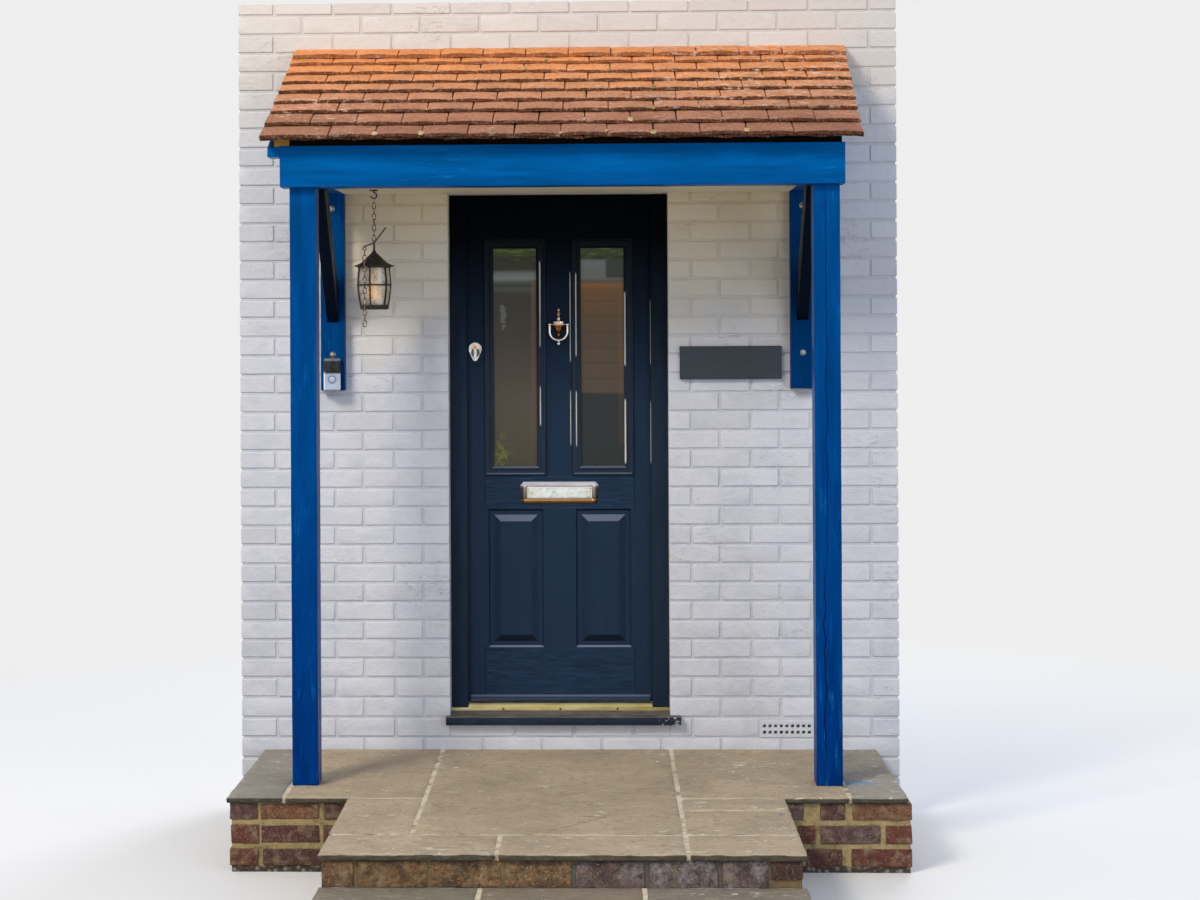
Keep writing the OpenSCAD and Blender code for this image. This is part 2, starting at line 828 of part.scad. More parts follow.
// Door half of each hinge: the upper knuckle with its bore, and its plate
module door_hinges() color(metal_bright)
    for (z = hinge_zs)
        translate([hinge_x, at(hinge_d), z])
            difference() {
                union() {
                    cylinder(r = knuckle_r, h = knuckle_h);
                    translate([-leaf_gap / 2 - hinge_plate_w, -knuckle_r, 0])
                        cube([leaf_gap / 2 + hinge_plate_w, hinge_plate_t, knuckle_h]);
                }
                translate([0, 0, -over]) cylinder(r = hinge_pin_r + 0.1, h = knuckle_h - 4);
            }

// Door leaf

// One lower panel, as a cut: its sloping edge and flat groove, less the bevelled field in the middle
module panel_groove(w, h) {
    inset = 2 * (panel_edge + panel_flat);
    difference() {
        sunk_field(w, h, panel_deep, panel_edge);
        translate([0, panel_deep, 0]) raised_field(w - inset, h - inset, panel_deep, panel_bevel);
    }
}

module door_leaf() {
    mid_z = panel_z + panel_h / 2;
    color(door_blue)
        difference() {
            block(leaf_x0, leaf_x1, leaf_back, leaf_front, leaf_z0, leaf_z1);
            for (side = [-1, 1]) {
                x = door_x + side * bay_x;
                block(x - pane_w / 2 - glass_rebate, x + pane_w / 2 + glass_rebate,
                    leaf_back - over, leaf_front + over,
                    pane_z - glass_rebate, pane_z + pane_h + glass_rebate);
                translate([x, at(leaf_front), mid_z]) panel_groove(panel_w, panel_h);
                translate([x, at(leaf_back), mid_z]) rotate([0, 0, 180]) panel_groove(panel_w, panel_h);
            }
            block(door_x - sleeve_w / 2, door_x + sleeve_w / 2, leaf_back - over, leaf_front + over,
                plate_z - sleeve_h / 2, plate_z + sleeve_h / 2);
        }
}

module door_glass() color("#cfd8d6", 0.6)
    for (side = [-1, 1]) {
        x = door_x + side * bay_x;
        block(x - pane_w / 2 - glass_rebate, x + pane_w / 2 + glass_rebate,
            leaf_back + bead_lip, leaf_front - bead_lip,
            pane_z - glass_rebate, pane_z + pane_h + glass_rebate);
    }

// One moulded bead frame, mitred at its corners, with the lip that holds the glass
module bead_frame()
    mitred_frame(pane_w + 2 * bead_w, pane_h + 2 * bead_w, concat(
        [for (p = bead_shares) [p[0] * bead_w, p[1] * bead_t]],
        [[bead_w, -bead_lip], [bead_w - glass_rebate, -bead_lip], [bead_w - glass_rebate, 0]]
    ), bead_t + bead_lip);

module glazing_beads() color(door_blue)
    for (side = [-1, 1]) {
        x = door_x + side * bay_x;
        z = pane_z + pane_h / 2;
        translate([x, at(leaf_front), z]) bead_frame();
        translate([x, at(leaf_back), z]) rotate([0, 0, 180]) bead_frame();
    }

module weather_bar() {
    bar_h = 28;
    bar_t = 18;
    x0 = door_x - sight_w / 2 + leaf_gap;
    color(door_blue)
        side_prism(x0, sight_w - 2 * leaf_gap, [
            [leaf_front, leaf_z0], [leaf_front + bar_t, leaf_z0],
            [leaf_front + bar_t, leaf_z0 + 8], [leaf_front, leaf_z0 + bar_h]
        ]);
}

// Outer plate with cut corners and a dished middle, sleeve through the leaf, and plain inner plate
module letterplate() color(metal_bright)
    translate([door_x, 0, plate_z])
        difference() {
            union() {
                translate([0, at(leaf_front), 0])
                    cut_corner_field(plate_w, plate_h, plate_t, plate_bevel, plate_corner);
                translate([-sleeve_w / 2, at(leaf_front) - over, -sleeve_h / 2])
                    cube([sleeve_w, leaf_t + 2 * over, sleeve_h]);
                translate([0, at(leaf_back), 0]) rotate([0, 0, 180])
                    raised_field(plate_w - 20, plate_h - 10, inner_plate_t, inner_plate_t / 2);
            }
            translate([0, at(leaf_front) - plate_t, 0])
                sunk_field(window_w + 2 * dish_bevel, window_h + 2 * dish_bevel, dish_t, dish_bevel);
            translate([-window_w / 2, at(leaf_front) - plate_t - over, -window_h / 2])
                cube([window_w, plate_t + leaf_t + inner_plate_t + 2 * over, window_h]);
        }

module letter_flap() color(metal_bright) {
    translate([door_x, at(flap_d) + flap_t / 2, plate_z])
        raised_field(flap_w, flap_h, flap_t, 1.5);
    translate([door_x - window_w / 2 + slack, at(flap_d), flap_pin_z]) rotate([0, 90, 0])
        cylinder(r = flap_pin_r, h = window_w - 2 * slack);
}

// Outline of the latch pull: a wide rounded top that narrows to a small rounded foot
function latch_outline(grow) =
    let (top_r = latch_w / 2, top_y = latch_h / 2 - top_r, foot_y = latch_foot_r - latch_h / 2)
    concat(
        [for (a = [-20 : 20 : 200]) [(top_r + grow) * cos(a), top_y + (top_r + grow) * sin(a)]],
        [for (a = [200 : 20 : 340]) [(latch_foot_r + grow) * cos(a), foot_y + (latch_foot_r + grow) * sin(a)]]
    );

// Cylinder pull: a plate with a raised rim, the lock cylinder, a middle rib and a finger lip
module latch_pull() {
    lock_y = latch_h / 2 - latch_w / 2;
    lock_r = 9.5;
    lock_t = 14;
    rib_w = 6;
    lip_w = 28;
    lip_y = 16 - latch_h / 2;
    key_w = 2;
    key_h = 8;
    color(metal_bright)
        translate([door_x - sight_w / 2 + leaf_gap + latch_w / 2, at(leaf_front), latch_z])
            rotate([90, 0, 0])
                difference() {
                    union() {
                        difference() {
                            linear_extrude(latch_rim_t) polygon(latch_outline(0));
                            translate([0, 0, latch_base_t]) linear_extrude(latch_rim_t)
                                polygon(latch_outline(-latch_rim_w));
                        }
                        translate([0, lock_y, 0]) cylinder(r = lock_r, h = lock_t);
                        translate([-rib_w / 2, latch_base_t - latch_h / 2, 0])
                            cube([rib_w, latch_h - latch_w / 2, latch_rim_t - 1]);
                        translate([-lip_w / 2, lip_y, 0]) cube([lip_w, rib_w, lock_t - 1]);
                    }
                    translate([-key_w / 2, lock_y - key_h / 2, lock_t - 3]) cube([key_w, key_h, 4]);
                }
}

// Half-round urn with a lid and finial, flat against the door, and the pin that carries the striker
module knocker_body() color(metal_bright)
    translate([door_x, at(leaf_front), knocker_z]) {
        scale(urn_r / urn_drawn_r) rotate([0, 0, 180]) rotate_extrude(angle = 180)
            polygon([
                [0, -44], [6, -43], [7, -39], [4, -35], [9, -29], [12, -26], [19, -13], [25, -6.5],
                [urn_drawn_r, -1], [urn_drawn_r, 13], [20, 15], [8, 20], [9, 25], [7, 32], [5, 35], [10, 41],
                [7, 49], [4, 55], [6, 61], [3, 67], [0, 68]
            ]);
        translate([0, -knocker_reach, 0]) rotate([0, 90, 0])
            cylinder(r = knocker_pin_r, h = 2 * (ring_r + ring_bar + 1), center = true);
        translate([0, 0, ball_z]) rotate([90, 0, 0])
            cylinder(r = ball_r - 1, h = knocker_reach - ball_r - slack);
    }

// Striker: a U-shaped bar with an eye at each end, and a ball that strikes the door
module knocker_ring() color(metal_bright)
    translate([door_x, at(leaf_front) - knocker_reach, knocker_z])
        difference() {
            union() {
                translate([0, 0, ring_drop]) rotate([90, 0, 0]) rotate([0, 0, 180])
                    rotate_extrude(angle = 180) translate([ring_r, 0]) circle(r = ring_bar);
                for (side = [-1, 1]) {
                    translate([side * ring_r, 0, ring_drop]) cylinder(r = ring_bar, h = -ring_drop);
                    translate([side * ring_r, 0, 0]) rotate([0, 90, 0])
                        cylinder(r = ring_bar + 1.5, h = 2 * ring_bar, center = true);
                }
                translate([0, 0, ball_z]) {
                    cylinder(r = 3.5, h = ring_drop - ring_r - ball_z);
                    sphere(r = ball_r);
                }
            }
            rotate([0, 90, 0])
                cylinder(r = knocker_pin_r + 0.1, h = 4 * ring_r, center = true);
        }

// Doorbell

// Case with a metal face below and a dark window with a round lens above
module doorbell() color(metal_dark)
    translate([-side_x, at(bell_d), bell_z])
        difference() {
            union() {
                rounded_block(bell_w, bell_h, bell_t - bell_face_t, bell_corner);
                rounded_block(bell_w, bell_face_h, bell_t, bell_corner);
                translate([-bell_window / 2, bell_face_t - bell_t - bell_window_t, bell_face_h + slack])
                    cube([bell_window, bell_t / 2, bell_window]);
                translate([0, -bell_t / 2, lens_up]) rotate([90, 0, 0])
                    difference() {
                        cylinder(r = lens_r, h = bell_t / 2);
                        translate([0, 0, bell_t / 2 - 1]) cylinder(r = lens_r - 2, h = 2);
                    }
            }
            translate([0, -bell_t - over, button_up]) rotate([-90, 0, 0])
                cylinder(d = button_dia + 2, h = button_t + button_travel + over);
        }

// Round button with a ring-shaped groove in its face
module bell_button() color(metal_bright)
    translate([-side_x, at(bell_d) - bell_t - button_proud, bell_z + button_up]) rotate([-90, 0, 0])
        difference() {
            cylinder(d = button_dia, h = button_t + button_proud - slack);
            translate([0, 0, -over]) difference() {
                cylinder(d = button_dia * 0.72, h = over + button_groove);
                translate([0, 0, -over]) cylinder(d = button_dia * 0.6, h = 3 * over + button_groove);
            }
        }

// Lantern

module lantern_hook() color(metal_dark)
    translate([lantern_x, at(lantern_d), 0]) {
        translate([0, 0, head_z - 4]) cylinder(r = 16, h = 4);
        translate([0, 0, lantern_pivot_z + 2 * hook_r])
            cylinder(r = hook_wire, h = head_z - 4 - lantern_pivot_z - 2 * hook_r + over);
        translate([0, 0, lantern_pivot_z + hook_r]) rotate([90, 0, 0]) rotate([0, 0, -180])
            rotate_extrude(angle = 270) translate([hook_r, 0]) circle(r = hook_wire);
    }

// One chain link, upright, its middle at the origin, seen edge on from the front
module link() {
    r = (link_w - 2 * link_wire) / 2;
    half = (link_l - link_w) / 2;
    rotate([90, 0, 90]) {
        for (end = [0, 1])
            translate([0, (end ? 1 : -1) * half, 0]) rotate([0, 0, end ? 0 : 180])
                rotate_extrude(angle = 180) translate([r, 0]) circle(r = link_wire);
        for (side = [-1, 1])
            translate([side * r, 0, 0]) rotate([90, 0, 0])
                cylinder(r = link_wire, h = link_l - link_w, center = true);
    }
}

// A row of links that hang through one another, each turned by a quarter
module chain(links, top)
    for (i = [0 : links - 1])
        translate([0, 0, top - link_l / 2 - i * link_pitch]) rotate([0, 0, i % 2 == 0 ? 0 : 90]) link();

// The chain that carries the lantern, and the spare chain that hangs from the rod
module lantern_chain() color(metal_dark)
    translate([lantern_x, at(lantern_d), 0]) {
        chain(chain_links, chain_top);
        translate([-tail_left, -tail_reach, 0]) chain(tail_links, spare_top);
    }

// A ring of wire that stands upright, its hole along X
module wire_ring(r)
    rotate([0, 90, 0]) rotate_extrude() translate([r, 0]) circle(r = link_wire);

// Cone roof with a flared brim, the neck and loop that hang on the chain, and the bent rod with its eye
module lantern_cap() {
    tip_r = 6;
    shoulder_r = 9;
    shoulder_h = 8;
    flare_r = 0.32 * brim_dia;
    flare_h = 16;
    brim_t = 3;
    neck_r = 4;
    seat_r = cage_head_dia / 2 + 2;
    eye = [-tail_left, -tail_reach, eye_z];
    rod_end = eye + [0, 0, eye_r + rod_over_eye];
    color(metal_dark)
        translate([lantern_x, at(lantern_d), 0]) {
            rotate_extrude()
                polygon([
                    [0, cap_top], [tip_r, cap_top], [shoulder_r, cap_top - shoulder_h],
                    [flare_r, brim_z + flare_h], [brim_dia / 2, brim_z + brim_t], [brim_dia / 2, brim_z],
                    [seat_r, brim_z + brim_t], [seat_r, cage_top], [0, cage_top]
                ]);
            translate([0, 0, cap_top - over]) cylinder(r = neck_r, h = loop_z - loop_r - cap_top + 2 * over);
            translate([0, 0, loop_z]) rotate([0, 0, chain_links % 2 == 0 ? 0 : 90]) wire_ring(loop_r);
            bar(rod_tip, rod_bend, rod_r);
            bar(rod_bend, rod_end, rod_r);
            for (p = [rod_tip, rod_bend, rod_end]) translate(p) sphere(r = rod_knuckle_r);
            translate(eye) rotate([0, 0, 90]) wire_ring(eye_r);
        }
}

// Radius of the barrel at a share of its height
function barrel_r(share) =
    cage_foot_dia / 2 + (cage_head_dia - cage_foot_dia) / 2 * share + cage_bulge * sin(180 * share);

module lantern_cage() {
    steps = 8;
    h = cage_top - lantern_base_z;
    cutter_r = cage_head_dia;
    ring_share = 0.57;
    ring_h = 6;
    band_h = 17;
    foot_t = 4;
    color(metal_dark)
        translate([lantern_x, at(lantern_d), 0]) {
            intersection() {
                rotate_extrude()
                    polygon(concat(
                        [for (i = [0 : steps]) [barrel_r(i / steps), lantern_base_z + h * i / steps]],
                        [for (i = [steps : -1 : 0])
                            [barrel_r(i / steps) - cage_wire, lantern_base_z + h * i / steps]]
                    ));
                union() {
                    for (i = [0 : cage_bars - 1])
                        rotate([0, 0, cage_turn + 360 * i / cage_bars])
                            translate([0, -cage_wire / 2, lantern_base_z - over])
                                cube([cutter_r, cage_wire, h + 2 * over]);
                    translate([0, 0, lantern_base_z + h * ring_share]) cylinder(r = cutter_r, h = ring_h);
                    translate([0, 0, lantern_base_z]) cylinder(r = cutter_r, h = band_h);
                }
            }
            translate([0, 0, lantern_base_z]) cylinder(r = cage_foot_dia / 2 - 1, h = foot_t);
        }
}

module lantern_glass() {
    low = lantern_base_z + 4;
    steps = 8;
    h = cage_top - low;
    gap = cage_wire + 0.5;
    wall = 3;
    color("#e8dcb8", 0.7)
        translate([lantern_x, at(lantern_d), 0])
            rotate_extrude()
                polygon(concat(
                    [for (i = [0 : steps]) [barrel_r(i / steps) - gap - 1, low + h * i / steps]],
                    [for (i = [steps : -1 : 0])
                        [barrel_r(i / steps) - gap - 1 - wall, low + h * i / steps]]
                ));
}

// Lamp holder under the cap, with a round bulb
module lantern_bulb() {
    holder_r = 13;
    holder_h = 40;
    bulb_r = 26;
    color("#ffe2a8")
        translate([lantern_x, at(lantern_d), cage_top - holder_h]) {
            cylinder(r = holder_r, h = holder_h);
            translate([0, 0, -holder_h * 0.45]) sphere(r = bulb_r);
        }
}

wall_left();
wall_right();
wall_over_door();
wall_under_door();
air_brick();
name_plaque();
landing_plinth();
landing_slabs();
step_plinth();
step_slabs();
post_left();
post_right();
front_beam();
side_rails();
wall_post_left();
wall_post_right();
brace_left();
brace_right();
coach_bolts();
ceiling_board();
wall_plate();
rafters();
barge_left();
barge_right();
side_cheeks();
tile_battens();
roof_tiles();
door_jamb_left();
door_jamb_right();
door_head();
door_sill();
door_threshold();
frame_hinges();
door_leaf();
door_glass();
glazing_beads();
weather_bar();
letterplate();
latch_pull();
knocker_body();
door_hinges();
letter_flap();
knocker_ring();
doorbell();
bell_button();
lantern_hook();
lantern_chain();
lantern_cap();
lantern_cage();
lantern_glass();
lantern_bulb();
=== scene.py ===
"""Looks of the entrance porch: painted brick, stone landing, blue timber, clay tiles, door and lantern."""

import functools
import math
import random

import bmesh
import bpy
from mathutils import Matrix, Vector, noise


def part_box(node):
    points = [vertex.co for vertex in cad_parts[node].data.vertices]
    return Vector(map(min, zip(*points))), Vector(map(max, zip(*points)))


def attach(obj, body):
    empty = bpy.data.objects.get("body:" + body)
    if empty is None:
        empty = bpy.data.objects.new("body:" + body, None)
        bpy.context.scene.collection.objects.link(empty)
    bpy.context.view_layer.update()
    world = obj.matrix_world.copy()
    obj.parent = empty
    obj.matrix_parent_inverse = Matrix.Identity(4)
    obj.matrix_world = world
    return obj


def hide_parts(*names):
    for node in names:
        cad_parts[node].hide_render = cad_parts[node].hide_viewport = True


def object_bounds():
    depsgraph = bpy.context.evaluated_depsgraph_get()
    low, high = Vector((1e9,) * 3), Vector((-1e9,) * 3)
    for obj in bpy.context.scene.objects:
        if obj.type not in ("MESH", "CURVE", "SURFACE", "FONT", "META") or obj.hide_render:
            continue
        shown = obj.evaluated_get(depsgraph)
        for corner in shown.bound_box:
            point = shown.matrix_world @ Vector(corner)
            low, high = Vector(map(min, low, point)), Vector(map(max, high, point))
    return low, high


bl_info = {
    "name": "Entrance Porch",
    "version": (1, 0, 0),
    "blender": (4, 5, 0),
    "location": "3D View > Sidebar > Porch",
    "description": "Builds the finishes of an entrance porch around its packed frame",
    "category": "Object",
}

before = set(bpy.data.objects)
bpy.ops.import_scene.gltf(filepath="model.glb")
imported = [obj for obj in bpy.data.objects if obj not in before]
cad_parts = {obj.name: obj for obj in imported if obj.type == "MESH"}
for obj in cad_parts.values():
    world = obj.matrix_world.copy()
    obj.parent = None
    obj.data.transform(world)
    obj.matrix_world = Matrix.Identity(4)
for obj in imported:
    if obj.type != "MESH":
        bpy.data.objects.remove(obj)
CAD_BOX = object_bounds()

# Places taken from the frame
FACE_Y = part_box("air_brick")[0].y
WALL_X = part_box("wall_right")[1].x
WALL_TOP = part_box("wall_left")[1].z
WALL_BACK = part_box("wall_left")[1].y
DOOR_LOW = Vector((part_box("wall_left")[1].x, FACE_Y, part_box("wall_under_door")[1].z))
DOOR_HIGH = Vector((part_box("wall_right")[0].x, FACE_Y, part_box("wall_over_door")[0].z))
DOOR_X = (DOOR_LOW.x + DOOR_HIGH.x) / 2

ROOF_PITCH = math.radians(28.0)
# Height where the painted shade under the canopy is darkest
CANOPY_SHADE = 2.3
BACKDROP = (0.86, 0.86, 0.86)


def linear(code):
    """Linear colour of a six-digit sRGB code."""
    parts = [int(code[i : i + 2], 16) / 255 for i in (0, 2, 4)]
    return tuple(c / 12.92 if c <= 0.04045 else ((c + 0.055) / 1.055) ** 2.4 for c in parts)


def size(label, default, text):
    """A length that a user may change, in metres."""
    return bpy.props.FloatProperty(
        name=label, description=text, default=default, min=0.0, unit="LENGTH", subtype="DISTANCE", precision=4
    )


def colour(label, code, text):
    """A colour that a user may change, given as an sRGB code."""
    return bpy.props.FloatVectorProperty(
        name=label, description=text, default=linear(code), size=3, min=0.0, max=1.0, subtype="COLOR"
    )


def plain_number(label, default, text, least=0.0):
    """A plain number that a user may change."""
    return bpy.props.FloatProperty(name=label, description=text, default=default, min=least)


class MasonrySettings(bpy.types.PropertyGroup):
    """Sizes and colours of the brickwork and stone"""

    brick_length: size("Brick length", 0.225, "Length of a stretcher in the house wall")
    brick_depth: size("Brick depth", 0.1025, "Depth of a brick, and length of a header")
    course: size("Course height", 0.075, "Height of a course with its bed")
    joint: size("Joint", 0.010, "Width of a mortar joint in the house wall")
    joint_depth: size("Joint depth", 0.0052, "How far the mortar lies behind the bricks")
    wall_paint: colour("Wall paint", "d2d4d9", "Paint on the house wall")
    shelter_paint: colour("Sheltered paint", "e8d8b4", "Yellowed paint under the ceiling")
    mortar: colour("Mortar", "ac986c", "Mortar of the landing's brickwork")
    slate: colour("Slate", "222d36", "Plaque beside the door")


class TimberSettings(bpy.types.PropertyGroup):
    """Sizes and colours of the painted timber"""

    edge: size("Edge radius", 0.0018, "Radius of the timber's worn edges")
    paint: colour("Timber paint", "005a9c", "Gloss paint on the beam")
    # The timber paint darkened near the ground as painted shade.
    low_shaded_paint: colour("Lower timber paint", "002f70", "The same paint near the ground")
    ceiling: colour("Ceiling paint", "f0e2c0", "Paint on the ceiling board")


class RoofSettings(bpy.types.PropertyGroup):
    """Sizes and colours of the roof tiles"""

    tile_width: size("Tile width", 0.167, "Width of a tile with its joint")
    tile_length: size("Tile length", 0.265, "Length of a tile")
    tile_thickness: size("Tile thickness", 0.012, "Thickness of a tile")
    gauge: size("Gauge", 0.100, "Distance between courses up the slope")
    camber: size("Camber", 0.004, "Rise of a tile's middle over its sides")
    clay: colour("Clay", "e29155", "Clean clay of the upper courses")


class DoorSettings(bpy.types.PropertyGroup):
    """Colour of the door"""

    paint: colour("Door paint", "1d3147", "Wood-grained skin of the door")


class LanternSettings(bpy.types.PropertyGroup):
    """Colours of the hanging lantern"""

    iron: colour("Iron", "232120", "Cage, cap and chain")
    glass: colour("Glass", "e6dcc0", "Mottled glass barrel")
    glow: plain_number("Glow", 1.2, "Strength of the bulb's own light")


class StageSettings(bpy.types.PropertyGroup):
    """Floor, lamps and camera"""

    floor: colour("Floor", "e4e4e2", "Floor and backdrop")
    lens: plain_number("Lens", 62.7, "Focal length of the camera in millimetres", least=10.0)
    key: plain_number("Key light", 960.0, "Power of the main soft lamp in watts")
    sky: plain_number("Sky", 0.77, "Strength of the soft light from all round")


def settings(group):
    """The settings of one group in this scene."""
    return getattr(bpy.context.scene, "porch_" + group)


def add_node(tree, kind, inputs=None, **properties):
    """A node with its properties set and its inputs linked or filled."""
    node = tree.nodes.new(kind)
    for label, value in properties.items():
        setattr(node, label, value)
    for label, value in (inputs or {}).items():
        if isinstance(value, bpy.types.NodeSocket):
            tree.links.new(value, node.inputs[label])
        else:
            node.inputs[label].default_value = value
    return node


def opaque(tint):
    """Four numbers of a colour that is given as an sRGB code or as linear numbers."""
    return (*(linear(tint) if isinstance(tint, str) else tint[:3]), 1.0)


class Finish:
    """A material built node by node, whose patterns lie in Object coordinates."""

    def __init__(self, name, **values):
        self.material = bpy.data.materials.new(name)
        self.material.use_nodes = True
        self.tree = self.material.node_tree
        self.shader = self.tree.nodes["Principled BSDF"]
        self.place = self.add("ShaderNodeTexCoord").outputs["Object"]
        self.x, self.y, self.z = self.add("ShaderNodeSeparateXYZ", {0: self.place}).outputs
        self.base = None
        self.last_bump = None
        for label, value in values.items():
            self.shader.inputs[label.replace("_", " ").title().replace("Ior", "IOR")].default_value = value

    def add(self, kind, inputs=None, **properties):
        """A node of this material."""
        return add_node(self.tree, kind, inputs, **properties)

    def spread(self, stretch):
        """Object coordinates multiplied by a factor for each axis."""
        if stretch is None:
            return self.place
        return self.vector("MULTIPLY", self.place, stretch)

    def noise(self, scale, detail=4.0, roughness=0.55, stretch=None, distortion=0.0):
        """Soft noise from 0 to 1."""
        inputs = {"Vector": self.spread(stretch), "Scale": scale, "Detail": detail}
        inputs.update({"Roughness": roughness, "Distortion": distortion})
        return self.add("ShaderNodeTexNoise", inputs).outputs["Fac"]

    def cells(self, scale, stretch=None, feature="F1"):
        """Distance to scattered points."""
        inputs = {"Vector": self.spread(stretch), "Scale": scale}
        return self.add("ShaderNodeTexVoronoi", inputs, feature=feature).outputs["Distance"]

    def span(self, value, low, high, start=0.0, end=1.0):
        """Value mapped from low..high to start..end and held there."""
        inputs = {"Value": value, "From Min": low, "From Max": high, "To Min": start, "To Max": end}
        return self.add("ShaderNodeMapRange", inputs).outputs["Result"]

    def patches(self, scale, detail, roughness, low, high, most=1.0):
        """Scattered patches of noise: 0 where it is under low, and most where it is over high."""
        return self.span(self.noise(scale, detail, roughness), low, high, 0.0, most)

    def calc(self, operation, first, second=0.0):
        """One step of arithmetic."""
        return self.add("ShaderNodeMath", {0: first, 1: second}, operation=operation).outputs[0]

    def apart(self, first, second):
        """How far two numbers are apart."""
        return self.calc("ABSOLUTE", self.calc("SUBTRACT", first, second))

    def vector(self, operation, first, second=None, output=0):
        """One step of arithmetic with vectors."""
        inputs = {0: first} if second is None else {0: first, 1: second}
        return self.add("ShaderNodeVectorMath", inputs, operation=operation).outputs[output]

    def times(self, *values):
        """Product of several numbers."""
        result = values[0]
        for value in values[1:]:
            result = self.calc("MULTIPLY", result, value)
        return result

    def along(self, direction):
        """How far a point lies along a direction."""
        return self.vector("DOT_PRODUCT", self.place, direction, "Value")

    def facing(self, letter):
        """One component of the surface's direction."""
        normal = self.add("ShaderNodeNewGeometry").outputs["Normal"]
        return self.add("ShaderNodeSeparateXYZ", {0: normal}).outputs[letter]

    def band(self, value, low, high, soft):
        """1 between two values, falling to 0 over a soft edge."""
        rise = self.span(value, low - soft, low + soft)
        fall = self.span(value, high - soft, high + soft, 1.0, 0.0)
        return self.calc("MULTIPLY", rise, fall)

    def smudge(self, centre, reach, ragged=0.5):
        """1 inside an uneven spot about a point, 0 outside."""
        shares = [1 / r for r in reach]
        part = self.vector("MULTIPLY", self.vector("SUBTRACT", self.place, centre), shares)
        far = self.vector("LENGTH", part, output="Value")
        uneven = self.span(self.noise(60.0, 4.0, 0.65), 0.2, 0.8, -ragged, ragged)
        return self.span(self.calc("ADD", far, uneven), 1.0, 0.8)

    def crack(self, across, along, place, width, sway, start, stop):
        """A thin wandering line: across is the value it keeps, along the one it follows."""
        inputs = {"W": along, "Scale": 9.0, "Detail": 5.0}
        drift = self.add("ShaderNodeTexNoise", inputs, noise_dimensions="1D")
        line = self.calc("ADD", across, self.span(drift.outputs["Fac"], 0.0, 1.0, -sway, sway))
        thin = self.span(self.apart(line, place), width, width * 0.3)
        return self.times(thin, self.band(along, start, stop, abs(stop - start) * 0.06))

    def value(self, name):
        """A number stored on the mesh."""
        return self.add("ShaderNodeAttribute", attribute_name=name).outputs["Fac"]

    def ramp(self, factor, *stops):
        """Colour read from a row of (position, colour) stops."""
        node = self.add("ShaderNodeValToRGB", {"Fac": factor})
        elements = node.color_ramp.elements
        while len(elements) < len(stops):
            elements.new(0.5)
        for element, (position, tint) in zip(elements, stops):
            element.position = position
            element.color = opaque(tint)
        return node.outputs["Color"]

    def blend(self, factor, first, second, mode="MIX"):
        """Two colours mixed by a factor."""
        socket = bpy.types.NodeSocket
        first, second = [c if isinstance(c, socket) else opaque(c) for c in (first, second)]
        inputs = {0: factor, 6: first, 7: second}
        return self.add("ShaderNodeMix", inputs, data_type="RGBA", blend_type=mode).outputs[2]

    def start(self, factor, *stops):
        """Lays the first coat, read from a row of (position, colour) stops."""
        self.base = self.ramp(factor, *stops)

    def cover(self, factor, tint):
        """Lays a colour over what is there, as thick as the factor."""
        self.base = self.blend(factor, self.base, tint)

    def tone(self, level):
        """Makes what is there darker or lighter by a number."""
        grey = self.add("ShaderNodeCombineColor", {0: level, 1: level, 2: level}).outputs[0]
        self.base = self.blend(1.0, self.base, grey, "MULTIPLY")

    def feed(self, label, value):
        """Links a value to one input of the shader."""
        self.tree.links.new(value, self.shader.inputs[label])

    def rough(self, value):
        """Feeds the roughness."""
        self.feed("Roughness", value)

    def bump(self, height, depth, strength=1.0):
        """Adds relief of a given depth in metres over what is there."""
        node = self.add("ShaderNodeBump", {"Height": height, "Distance": depth, "Strength": strength})
        if self.last_bump:
            self.tree.links.new(self.last_bump.outputs["Normal"], node.inputs["Normal"])
        self.last_bump = node
        self.feed("Normal", node.outputs["Normal"])

    def done(self):
        """Feeds the base colour and gives the finished material."""
        if self.base:
            self.feed("Base Color", self.base)
        return self.material


def shade(tint, factor):
    """A colour made darker or lighter."""
    return tuple(min(1.0, c * factor) for c in tint[:3])


# Meshes


def piece(name, bm, material, body, nodes=(), sharp=21.0):
    """Turns a bmesh into a finished piece that rides on a body and stands for its nodes."""
    mesh = bpy.data.meshes.new(name)
    bm.to_mesh(mesh)
    bm.free()
    return finished(name, mesh, material, body, nodes, sharp)


def keep_inside(mesh):
    """Draws in every point that worn edges would push past the part's own box."""
    low, high = CAD_BOX
    for v in mesh.vertices:
        v.co = [min(max(c, a), b) for c, a, b in zip(v.co, low, high)]


def finished(name, mesh, material, body, nodes=(), sharp=21.0):
    """Gives a mesh its object, material and body."""
    mesh.name = name
    if body == "house":
        keep_inside(mesh)
    if "custom_normal" in mesh.attributes:
        mesh.attributes.remove(mesh.attributes["custom_normal"])
    mesh.materials.clear()
    mesh.materials.append(material)
    mesh.shade_smooth()
    mesh.set_sharp_from_angle(angle=math.radians(sharp))
    made = bpy.data.objects.new(name, mesh)
    bpy.context.scene.collection.objects.link(made)
    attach(made, body)
    if nodes:
        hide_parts(*nodes)
    return made


def copied(*nodes):
    """Clean copy of CAD nodes: doubles merged and flat faces whole again."""
    bm = bmesh.new()
    for node in nodes:
        bm.from_mesh(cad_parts[node].data)
    bmesh.ops.remove_doubles(bm, verts=bm.verts, dist=1e-5)
    bmesh.ops.dissolve_limit(bm, angle_limit=math.radians(0.5), verts=bm.verts, edges=bm.edges)
    return bm


def round_edges(bm, width, segments=2, angle=30.0):
    """Rounds every edge sharper than an angle."""
    limit = math.radians(angle)
    sharp = [e for e in bm.edges if e.is_manifold and e.calc_face_angle(0.0) > limit]
    bmesh.ops.bevel(
        bm, geom=sharp, offset=width, segments=segments, profile=0.5, affect="EDGES", clamp_overlap=True
    )
    return bm


